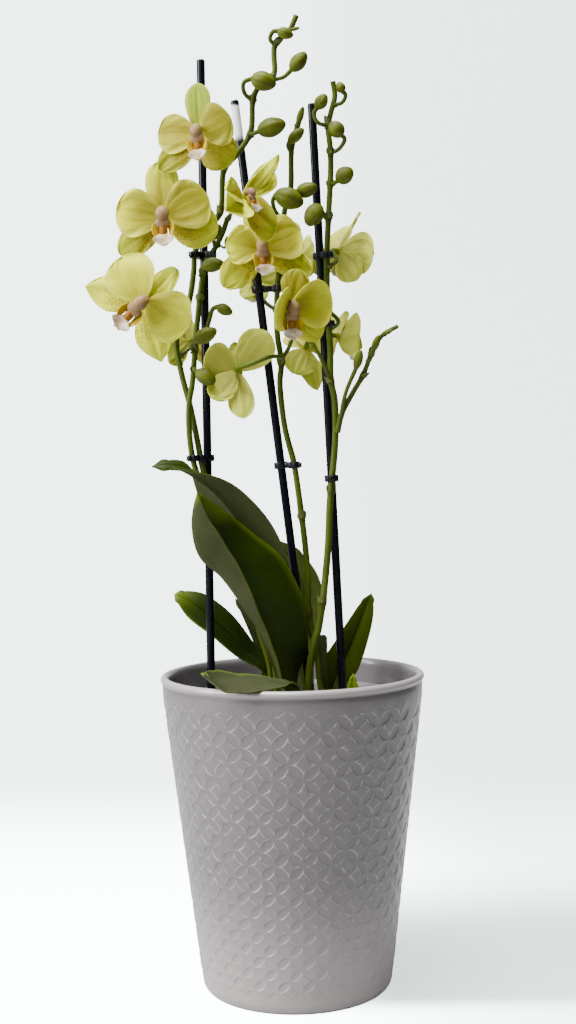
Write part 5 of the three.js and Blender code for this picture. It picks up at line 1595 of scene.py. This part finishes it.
def tepal_place(around, long, wide, lift, curl, cup, claw, widest, forward, seed,
                ripple=0.8, twist=0, fold=0, keel=0.45, point=0.0):
    """A tepal in its flower's own frame: +Z faces out of the flower and +Y is its top.

    around is its direction, clockwise from the top. long and wide are its size, and forward how far in
    front of the flower's middle it starts. lift and curl bend it forward, in degrees, and cup bends its
    sides. claw is how narrow its foot is, and widest how far along it is widest. ripple waves its edges,
    in millimetres. twist turns its tip round its length, in degrees. fold brings its two halves
    together, keel sinks a channel along its middle, and point narrows its tip.
    """
    turn = math.radians(around)
    outward = np.array([math.sin(turn), math.cos(turn), 0])
    sideways = np.array([math.cos(turn), -math.sin(turn), 0])
    out = np.array([0, 0, 1.0])
    edge_wave, slow_wave = wave(seed, (5, 10)), wave(f"{seed} slow", (2, 4))
    crease_wave = wave(f"{seed} crease", (1, 5))

    def place(u, v):
        u = 1 - (1 - u) ** 1.6
        bend = np.radians(lift + curl * u)
        reach = (wide / 2) * tepal_width(u, claw, widest, point)
        over = np.radians(twist * ease(u, 0.15, 1))
        across = reach * v
        rise = (cup * reach * v**2 + fold * reach * np.abs(v) ** 1.3
                + ripple * ease(np.abs(v), 0.25, 1) * ease(u, 0.1, 0.5) * edge_wave(u * 2 + 1.7 * v)
                + 0.8 * slow_wave(3 * u + 0.8 * v) * ease(u, 0.2, 1)
                + 0.5 * crease_wave(3.2 * v) * ease(u, 0.05, 0.4) * (1 - ease(u, 0.75, 1))
                - keel * np.exp(-((v * reach / 1.2) ** 2)) * ease(u, 0.05, 0.3) * (1 - ease(u, 0.7, 1)))
        away = 1.2 + long * u * np.cos(bend)
        height = forward + long * u * np.sin(bend)
        flat_across = across * np.cos(over) - rise * np.sin(over)
        flat_rise = across * np.sin(over) + rise * np.cos(over)
        return (away[:, None] * outward + flat_across[:, None] * sideways
                + (height + flat_rise)[:, None] * out)

    return place


def flower_frame(spec):
    """A flower's own axes, as columns, and its middle."""
    yaw, pitch, roll = (math.radians(spec[key]) for key in ("yaw", "pitch", "roll"))
    facing = np.array([math.sin(yaw) * math.cos(pitch), -math.cos(yaw) * math.cos(pitch), math.sin(pitch)])
    right = np.array([math.cos(yaw), math.sin(yaw), 0])
    basis = np.column_stack([right, np.cross(facing, right), facing])
    spin = np.array([[math.cos(roll), math.sin(roll), 0], [-math.sin(roll), math.cos(roll), 0], [0, 0, 1]])
    return basis @ spin, np.array(spec["at"], float)


def even_tepal(settings, part, size, lift):
    """The shape of a sepal or petal of an even flower."""
    if part in ("left", "right"):
        return dict(long=settings.petal_length / MM * size, wide=settings.petal_width / MM * size,
                    lift=lift + 5, curl=-14, cup=0.1, claw=0.14, widest=0.6, forward=0.7)
    return dict(long=settings.sepal_length / MM * size, wide=settings.sepal_width / MM * size,
                lift=lift, curl=-8, cup=-0.06, claw=0.2, widest=0.56, forward=-0.6,
                point=0.0 if part == "top" else 0.25)


def mark_tepal(blade, name, part, darker, greener, u, v):
    """Where a tepal is green, deep, pale and flecked."""
    petal, lower = part in ("left", "right"), part.startswith("lower")
    tip = ease(u, 0.45, 1)
    green_length, green_tip = (0.0, 0.06) if petal else (0.25, 0.3)
    green = green_length * ease(u, 0.2, 0.8) + green_tip * tip + 0.4 * (part == "top") * tip
    mark(blade, "green", np.clip(green + greener, 0, 1))
    shade = wave(f"{name} {part} shade", (1, 4))
    # deep is the mustard near the claw, partly the tepal's own colour and partly painted shade. Painted shade
    # is added on the right petal, away from the light, and the flower's and tepal's shade values paint shade
    # or light.
    deep = (1 - ease(u, 0.1, 0.92)) * (1 - 0.45 * v**2) + 0.12 * shade(2 * u + 1.5 * v)
    away_from_light = {"right": 0.45, "left": -0.05}.get(part, 0.0)
    mark(blade, "deep", np.clip(deep + away_from_light + darker, 0, 1))
    # A painted glow of light along the rim and the tip, as if light shone through the thin tepal.
    rim = np.maximum(ease(np.abs(v), 0.5, 1), ease(u, 0.75, 1))
    mark(blade, "pale", np.clip((0.32 if petal else 0.16) * rim, 0, 1))
    fleck_strength, fleck_reach = (1.0, 0.75) if lower else (0.3, 0.45)
    mark(blade, "flecks", fleck_strength * (1 - ease(u, 0.25, fleck_reach)))


def model_tepals(name, spec, settings, finishes):
    """The three sepals and two petals of a flower, round a small hub."""
    basis, middle = flower_frame(spec)
    size = spec["size"]
    looks = TEPAL_LOOKS.get(name, {})
    petals_at, sepals_at = spec["petals_at"], spec["sepals_at"]
    turns = {"top": 0, "left": -petals_at, "right": petals_at, "lower_left": -sepals_at,
             "lower_right": sepals_at}
    parts = []
    for (part, around), lift in zip(turns.items(), spec["lifts"]):
        shape = {"around": around, "seed": f"{name} {part}", **even_tepal(settings, part, size, lift)}
        look = {key: value * size if key in ("long", "wide") else value
                for key, value in looks.get(part, {}).items()}
        darker, greener = look.pop("shade", 0) + looks.get("shade", 0), look.pop("green", 0)
        shape["forward"] -= look.pop("drop", 0)
        local = tepal_place(**{**shape, **look})
        blade, u, v = sheet(name, 26, 20, lambda a, b, local=local: local(a, b) @ basis.T + middle)
        mark_tepal(blade, name, part, darker, greener, u, v)
        dress(blade, *finishes)
        thicken(blade, settings.tepal_thickness / MM, 1 - np.abs(v) ** 4, 0.45, back=1)
        parts.append(blade)
    hub_size = [2.9 * size, 2.9 * size, 1.7]
    hub, _ = ball(name, lambda points: (points * hub_size) @ basis.T + middle, 16, 10)
    mark(hub, "green", 0.5)
    mark(hub, "deep", 1.0)
    dress(hub, *finishes)
    whole = join([*parts, hub], f"{name}_open")
    hand_in(whole, "tepal", f"{name}_tepals", degrees=60)


# The heart of a flower in its own frame, with +Z out of the flower and +Y to its top: the line of the
# column, the size and middle of its cap and of the throat, the line of the tongue, and the lines of the
# right side lobe and the right tendril, which the left ones mirror.
COLUMN = [[0, 2.8, -0.6], [0, 3.0, 3.0], [0, 1.2, 6.0], [0, -3.6, 7.6]]
CAP_SIZE, CAP_AT = [4.2, 3.4, 1.8], [0, -4.0, 6.4]
THROAT_SIZE, THROAT_AT = [2.5, 4.2, 2.2], [0, -8.4, 6.0]
TONGUE = [[0, -7.0, 3.0], [0, -10.0, 6.2], [0, -12.6, 8.2], [0, -15.2, 8.4], [0, -17.2, 9.0]]
SIDE_LOBE = [[3.0, -3.0, 2.8], [4.6, -5.6, 5.2], [5.0, -9.4, 7.0], [3.9, -13.2, 8.0]]
TENDRIL = [[0.5, -16.2, 9.4], [1.0, -17.0, 9.9], [1.7, -17.0, 9.5], [1.9, -16.3, 9.0]]
# How far the heart stands in front of the tepals' middle, and the radius of a tendril.
HEART_ROOT, TENDRIL_RADIUS = 2.2, 0.32


def column_place(points, lumps):
    """The column: a ball drawn out along its line, thicker to the end and a little lumpy."""
    t = (points[:, 2] + 1) / 2
    line = smooth_line(COLUMN, t)
    ahead = smooth_line(COLUMN, np.minimum(t + 0.02, 1.0)) - line
    ahead[t > 0.98] = [0, -0.6, 0.2]
    level = np.array([1.0, 0, 0])
    above = np.cross(units(ahead), level)
    ring = np.hypot(points[:, 0], points[:, 1])
    turn = np.arctan2(points[:, 1], points[:, 0])
    fat = 2.3 + 1.9 * ease(t, 0.25, 0.8) + 0.4 * lumps(3 * t + 0.8 * np.sin(turn))
    fat = fat * ring**0.6 * (1 - 0.1 * np.exp(-((np.sin(turn) / 0.3) ** 2)))
    return line + (np.cos(turn) * fat)[:, None] * level + (np.sin(turn) * fat)[:, None] * above


def lobe_place(u, v, side):
    """A side lobe: a curved blade that stands up beside the column and cups towards it."""
    wide = 2.2 * np.sin(math.pi * np.clip(0.14 + 0.82 * u, 0, 1)) ** 0.6
    line = smooth_line(np.array(SIDE_LOBE) * [side, 1, 1], u)
    return line + np.c_[side * (0.75 * v - 0.3 * v**2) * wide, 0.2 * wide * v, 0.66 * wide * v]


def tongue_place(u, v, edge):
    """The middle lobe: narrow between the side lobes, then broad and ragged, with a tip turned up."""
    wide = (1.8 + 3.9 * np.exp(-(((u - 0.68) / 0.25) ** 2))) * (1 - ease(u, 0.8, 1.0) * 0.6)
    ragged = 0.35 * edge(3 * u + 2 * v) * ease(np.abs(v), 0.4, 1) * ease(u, 0.4, 0.6)
    cupped = (0.6 * ease(u, 0.2, 0.6) - 0.3) * v**2 * wide
    return smooth_line(TONGUE, u) + np.c_[wide * v, 0.2 * v**2 * wide + ragged, cupped + ragged]


def model_heart(name, spec, finishes):
    """The column, its cap, the lip's side lobes, tongue, throat and tendrils."""
    look = TEPAL_LOOKS.get(name, {})
    basis, middle = flower_frame({**spec, "roll": spec["roll"] + look.get("heart_turn", 0)})
    size = spec["size"] * look.get("heart_size", 1.0)
    edge, lumps = wave(f"{name} lip", (2, 6)), wave(f"{name} column", (5, 9))
    column_look, lobe_look, tongue_look, throat_look = range(4)

    def put(local):
        return (np.asarray(local) * size + [0, 0, HEART_ROOT]) @ basis.T + middle

    body, start = ball(name, lambda points: put(column_place(points, lumps)), 24, 18)
    back, flanks = ease(-start[:, 2], 0.0, 0.8), ease(np.abs(start[:, 0]), 0.5, 1)
    mark(body, "tone", np.clip(0.8 * back + 0.4 * flanks, 0, 1))
    cap, start = ball(name, lambda points: put(points * CAP_SIZE + CAP_AT), 16, 10)
    mark(cap, "tone", 0.35 * ease(-start[:, 1], 0.2, 0.9))
    parts = [(body, column_look), (cap, column_look)]
    for side in (-1, 1):
        lobe, u, v = sheet(name, 14, 10, lambda a, b, side=side: put(lobe_place(a, b, side)))
        mark(lobe, "tone", np.clip(1 - 1.6 * u, 0, 1))
        thicken(lobe, 0.8, 1 - np.abs(v) ** 3, 0.5)
        parts.append((lobe, lobe_look))
    tongue, u, v = sheet(name, 20, 14, lambda a, b: put(tongue_place(a, b, edge)))
    mark(tongue, "tone", 1 - ease(u, 0.28, 0.5))
    thicken(tongue, 1.3, 1 - np.abs(v) ** 3, 0.5)
    throat, _ = ball(name, lambda points: put(points * THROAT_SIZE + THROAT_AT), 14, 10)
    mark(throat, "tone", 0.4)
    parts += [(tongue, tongue_look), (throat, throat_look)]
    for side in (-1, 1):
        line = np.array(TENDRIL) * [side, 1, 1]
        tendril = tube(name, put(spaced_line(line, 0.4)), TENDRIL_RADIUS * size, 2)
        mark(tendril, "tone", 0.0)
        parts.append((tendril, tongue_look))
    for part, finish_index in parts:
        dress_in_one(part, finish_index, finishes)
    whole = join([part for part, _ in parts], f"{name}_heart")
    hand_in(whole, "lip", f"{name}_lip", degrees=60)


# Colours of the tepals' backs, and the blush of the column, the side lobes, the tongue and the throat.
BACK_GREEN, BACK_DEEP = (0.6, 0.64, 0.16), (0.42, 0.42, 0.07)
COLUMN_BLUSH, LOBE_BLUSH, LIP_BLUSH = (0.22, 0.13, 0.045), (0.42, 0.33, 0.006), (0.34, 0.17, 0.02)
THROAT_TONE, THROAT_BLUSH = (0.32, 0.15, 0.008), (0.2, 0.07, 0.006)


def model_flowers(settings):
    tone, deep, green = tuple(settings.tepal), tuple(settings.tepal_deep), tuple(settings.tepal_green)
    faces = (
        tepal_finish("Tepal Face", tone, deep, green, 0.09),
        tepal_finish("Tepal Back", mixed(tone, BACK_GREEN, 0.5, 0.5), BACK_DEEP, lit(green, 1.15), 0.1, 0.15),
    )
    hearts = (
        heart_finish("Column Mauve", tuple(settings.column), COLUMN_BLUSH, 0.16),
        heart_finish("Side Lobe Orange", tuple(settings.lobe), LOBE_BLUSH, 0.3),
        heart_finish("Lip White", tuple(settings.lip), LIP_BLUSH, 0.06),
        heart_finish("Throat", THROAT_TONE, THROAT_BLUSH, 0.7),
    )
    for name, spec in FLOWERS.items():
        model_tepals(name, spec, settings, faces)
        model_heart(name, spec, hearts)


# ---------------------------------------------------------------- flowering spikes


# The dry colour of the bracts, how far apart the points of a stem and of a stalk lie, how far the
# swelling of a joint reaches, and how far behind its flower a stalk turns to it and ends.
BRACT_TONE, STEM_STEP, STALK_STEP, JOINT_REACH = (0.075, 0.09, 0.02), 1.6, 1.0, 2.2
STALK_TURNS, STALK_ENDS = 9, 2.2
# How far the stalk of a flower and the stalk of a bud flare.
FLOWER_FLARE, BUD_FLARE = 0.35, 0.15


def behind(name, distance):
    """The place so far behind the middle of a flower."""
    basis, middle = flower_frame(FLOWERS[name])
    return list(basis @ [0, 0, -distance] + middle)


def bract(name, place, direction, radius, tall, face):
    """A small pointed scale that wraps the stem."""
    axes = frame_along(direction, (0.3, 1, 0.1))

    def scale(u, v):
        angle = face + v * 1.9 * (1 - u**1.6)
        out = radius + 0.25 + 0.9 * u**1.5
        return place + (np.c_[np.cos(angle) * out, np.sin(angle) * out, (u - 0.15) * tall + 0 * v]) @ axes.T

    piece, u, v = sheet(name, 8, 8, scale)
    mark(piece, "tone", 0.3 * ease(u, 0.5, 1))
    mark(piece, "pale", 0.25)
    thicken(piece, 0.35, 1 - np.abs(v), 0.5)
    return piece


def bud(name, start, end, radius):
    """A closed bud: an egg with three shallow seams and a blunt point."""
    start, end = np.array(start, float), np.array(end, float)
    start = start - unit(end - start)
    way = end - start
    axes = frame_along(way, (0.2, 0.3, 1) if abs(unit(way)[2]) < 0.9 else (0, 1, 0))
    spin = sum(map(ord, name)) + start[0]

    def egg(points):
        t = (points[:, 2] + 1) / 2
        turn = np.arctan2(points[:, 1], points[:, 0])
        seam = np.exp(-((np.sin(1.5 * (turn + spin)) / 0.16) ** 2))
        ridge = 0.03 * np.cos(9 * turn + spin)
        fat = 1.09 * radius * (1 + 0.16 * (0.5 - t)) * (1 - 0.07 * seam + ridge * 0.6)
        egg.seam = np.clip(0.55 * seam + 0.25 * ease(t, 0.75, 1), 0, 1)
        backs = np.maximum(0, np.cos(3 * (turn + spin) + math.pi)) ** 3
        egg.pale = np.clip(0.5 * backs * np.sin(math.pi * t), 0, 1)
        length_share = np.clip(t + 0.03 * np.sin(2 * math.pi * t), 0, 1)
        local = np.c_[points[:, 0] * fat, points[:, 1] * fat, length_share * np.linalg.norm(way)]
        return start + local @ axes.T

    piece, _ = ball(name, egg, 36, 20)
    mark(piece, "tone", egg.seam)
    mark(piece, "pale", egg.pale)
    return piece


def main_stem(name, spike, line, swell):
    """A spike's main stem, thicker at its joints, and the radius at each point of its line."""
    t = np.linspace(0, 1, len(line))
    first, last = spike["radii"]
    near_joint = np.zeros(len(line))
    for height in spike["joints"]:
        joint = int(np.argmin(np.abs(line[:, 2] - height)))
        run = np.abs(np.arange(len(line)) - joint) * STEM_STEP
        near_joint = np.maximum(near_joint, np.exp(-((run / JOINT_REACH) ** 2)))
    bumps = wave(name, (0.5, 1.5))
    radii = first + 0.3 + (last + 0.15 - first) * t + swell * near_joint + 0.06 * bumps(line[:, 2] * 0.3)
    stem = tube(name, line, radii, 5)
    # Each point of the stem takes the tone of the nearest point of its line, of which every other is tried.
    away = ((points_of(stem)[:, None, :] / MM - line[None, ::2, :]) ** 2).sum(2)
    nearest = np.minimum(np.argmin(away, axis=1) * 2, len(line) - 1)
    mark(stem, "tone", 0.75 * near_joint[nearest])
    mark(stem, "pale", 0.0)
    return stem, radii


def stalk_of(name, points, radius, flare):
    """A stalk that is thick where it leaves the stem, flares to its end, and is pale near a flower."""
    route = spaced_line(points, STALK_STEP)
    s = np.linspace(0, 1, len(route))
    radii = radius * (1 + flare * ease(s, 0.55, 1) + 0.3 * (1 - ease(s, 0, 0.12)))
    stalk = tube(name, route, radii, 4)
    mark(stalk, "tone", 0.1)
    from_end = np.linalg.norm(points_of(stalk) / MM - route[-1], axis=1)
    pale_end = 0.9 if flare == FLOWER_FLARE else 0.0
    mark(stalk, "pale", 0.1 + pale_end * (1 - ease(from_end, 4, 22)))
    return stalk, route


def model_spikes(settings):
    finishes = (stem_finish("Stem Green", tuple(settings.stem)),
                stem_finish("Bud Green", tuple(settings.bud), 0.45),
                stem_finish("Bract", BRACT_TONE, 0.6))
    stem_look, bud_look, bract_look = range(3)
    thin = settings.pedicel_radius / MM
    for name, spike in SPIKES.items():
        line = spaced_line(spike["route"], STEM_STEP)
        stem, radii = main_stem(name, spike, line, settings.joint_swell / MM)
        parts = [(stem, stem_look)]
        chance = random.Random(name)
        for height in spike["joints"]:
            joint = int(np.clip(np.argmin(np.abs(line[:, 2] - height)), 1, len(line) - 2))
            way = line[joint + 1] - line[joint - 1]
            tall, face = chance.uniform(3.5, 5), chance.uniform(0, FULL_TURN)
            parts.append((bract(name, line[joint], way, radii[joint], tall, face), bract_look))
        stalks = [([*points, behind(flower, STALK_TURNS), behind(flower, STALK_ENDS)], thin, FLOWER_FLARE)
                  for flower, points in spike["flowers"].items()]
        stalks += [(points, min(thin, radius * 0.6), BUD_FLARE) for points, _, radius in spike["buds"]]
        for points, radius, flare in stalks:
            stalk, route = stalk_of(name, points, radius, flare)
            scale = bract(name, route[0], route[2] - route[0], radius, 3.2, chance.uniform(0, FULL_TURN))
            parts += [(stalk, stem_look), (scale, bract_look)]
        for points, tip, radius in spike["buds"]:
            parts.append((bud(name, points[-1], tip, radius), bud_look))
        for part, finish_index in parts:
            dress_in_one(part, finish_index, finishes)
        whole = join([part for part, _ in parts], f"{name}_grown")
        hand_in(whole, "stem", name, degrees=60)


# ---------------------------------------------------------------- the add-on


class ORCHID_OT_stage(bpy.types.Operator):
    """Set up the camera, the pale floor and the soft light"""

    bl_idname = "orchid.stage"
    bl_label = "Stage"

    def execute(self, context):
        model_stage(context.scene.orchid_stage)
        return {"FINISHED"}


class ORCHID_OT_outer_pot(bpy.types.Operator):
    """Model the glazed pot with its raised diamonds"""

    bl_idname = "orchid.outer_pot"
    bl_label = "Outer Pot"

    def execute(self, context):
        model_outer_pot(context.scene.orchid_pot)
        return {"FINISHED"}


class ORCHID_OT_grow_pot(bpy.types.Operator):
    """Model the plastic pot that the plant grows in"""

    bl_idname = "orchid.grow_pot"
    bl_label = "Grow Pot"

    def execute(self, context):
        model_grow_pot(context.scene.orchid_pot)
        return {"FINISHED"}


class ORCHID_OT_bark(bpy.types.Operator):
    """Fill the grow pot with bark chips"""

    bl_idname = "orchid.bark"
    bl_label = "Bark"

    def execute(self, context):
        model_bark(context.scene.orchid_pot)
        return {"FINISHED"}


class ORCHID_OT_crowns(bpy.types.Operator):
    """Model the two short crowns that the leaves grow from"""

    bl_idname = "orchid.crowns"
    bl_label = "Crowns"

    def execute(self, context):
        model_crowns(context.scene.orchid_plant)
        return {"FINISHED"}


class ORCHID_OT_leaves(bpy.types.Operator):
    """Model the nine leaves"""

    bl_idname = "orchid.leaves"
    bl_label = "Leaves"

    def execute(self, context):
        model_leaves(context.scene.orchid_plant)
        return {"FINISHED"}


class ORCHID_OT_stakes(bpy.types.Operator):
    """Model the three black stakes"""

    bl_idname = "orchid.stakes"
    bl_label = "Stakes"

    def execute(self, context):
        model_stakes(context.scene.orchid_support)
        return {"FINISHED"}


class ORCHID_OT_clips(bpy.types.Operator):
    """Model the clips that hold the stems to the stakes"""

    bl_idname = "orchid.clips"
    bl_label = "Clips"

    def execute(self, context):
        model_clips(context.scene.orchid_support)
        return {"FINISHED"}


class ORCHID_OT_spikes(bpy.types.Operator):
    """Model the flowering spikes with their stalks, scales and buds"""

    bl_idname = "orchid.spikes"
    bl_label = "Spikes"

    def execute(self, context):
        model_spikes(context.scene.orchid_plant)
        return {"FINISHED"}


class ORCHID_OT_flowers(bpy.types.Operator):
    """Model the open flowers, each with its tepals, column and lip"""

    bl_idname = "orchid.flowers"
    bl_label = "Flowers"

    def execute(self, context):
        model_flowers(context.scene.orchid_plant)
        return {"FINISHED"}


STEPS = ("stage", "outer_pot", "grow_pot", "bark", "crowns", "leaves", "stakes", "clips", "spikes", "flowers")


class ORCHID_PT_panel(bpy.types.Panel):
    """The steps, in the order they are done"""

    bl_idname = "ORCHID_PT_panel"
    bl_label = "Potted Orchid"
    bl_space_type = "VIEW_3D"
    bl_region_type = "UI"
    bl_category = "Orchid"

    def draw(self, context):
        for step in STEPS:
            self.layout.operator(f"orchid.{step}")


GROUPS = {
    "orchid_pot": OrchidPotSettings,
    "orchid_plant": OrchidPlantSettings,
    "orchid_support": OrchidSupportSettings,
    "orchid_stage": OrchidStageSettings,
}
CLASSES = (
    ORCHID_OT_stage, ORCHID_OT_outer_pot, ORCHID_OT_grow_pot, ORCHID_OT_bark, ORCHID_OT_crowns,
    ORCHID_OT_leaves, ORCHID_OT_stakes, ORCHID_OT_clips, ORCHID_OT_spikes, ORCHID_OT_flowers,
    ORCHID_PT_panel,
)


def register():
    for name, group in GROUPS.items():
        bpy.utils.register_class(group)
        setattr(bpy.types.Scene, name, bpy.props.PointerProperty(type=group))
    for made in CLASSES:
        bpy.utils.register_class(made)


def unregister():
    for made in reversed(CLASSES):
        bpy.utils.unregister_class(made)
    for name, group in reversed(GROUPS.items()):
        delattr(bpy.types.Scene, name)
        bpy.utils.unregister_class(group)


def main():
    """Registers the add-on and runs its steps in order."""
    register()
    for step in STEPS:
        getattr(bpy.ops.orchid, step)()


if __name__ == "__main__":
    main()
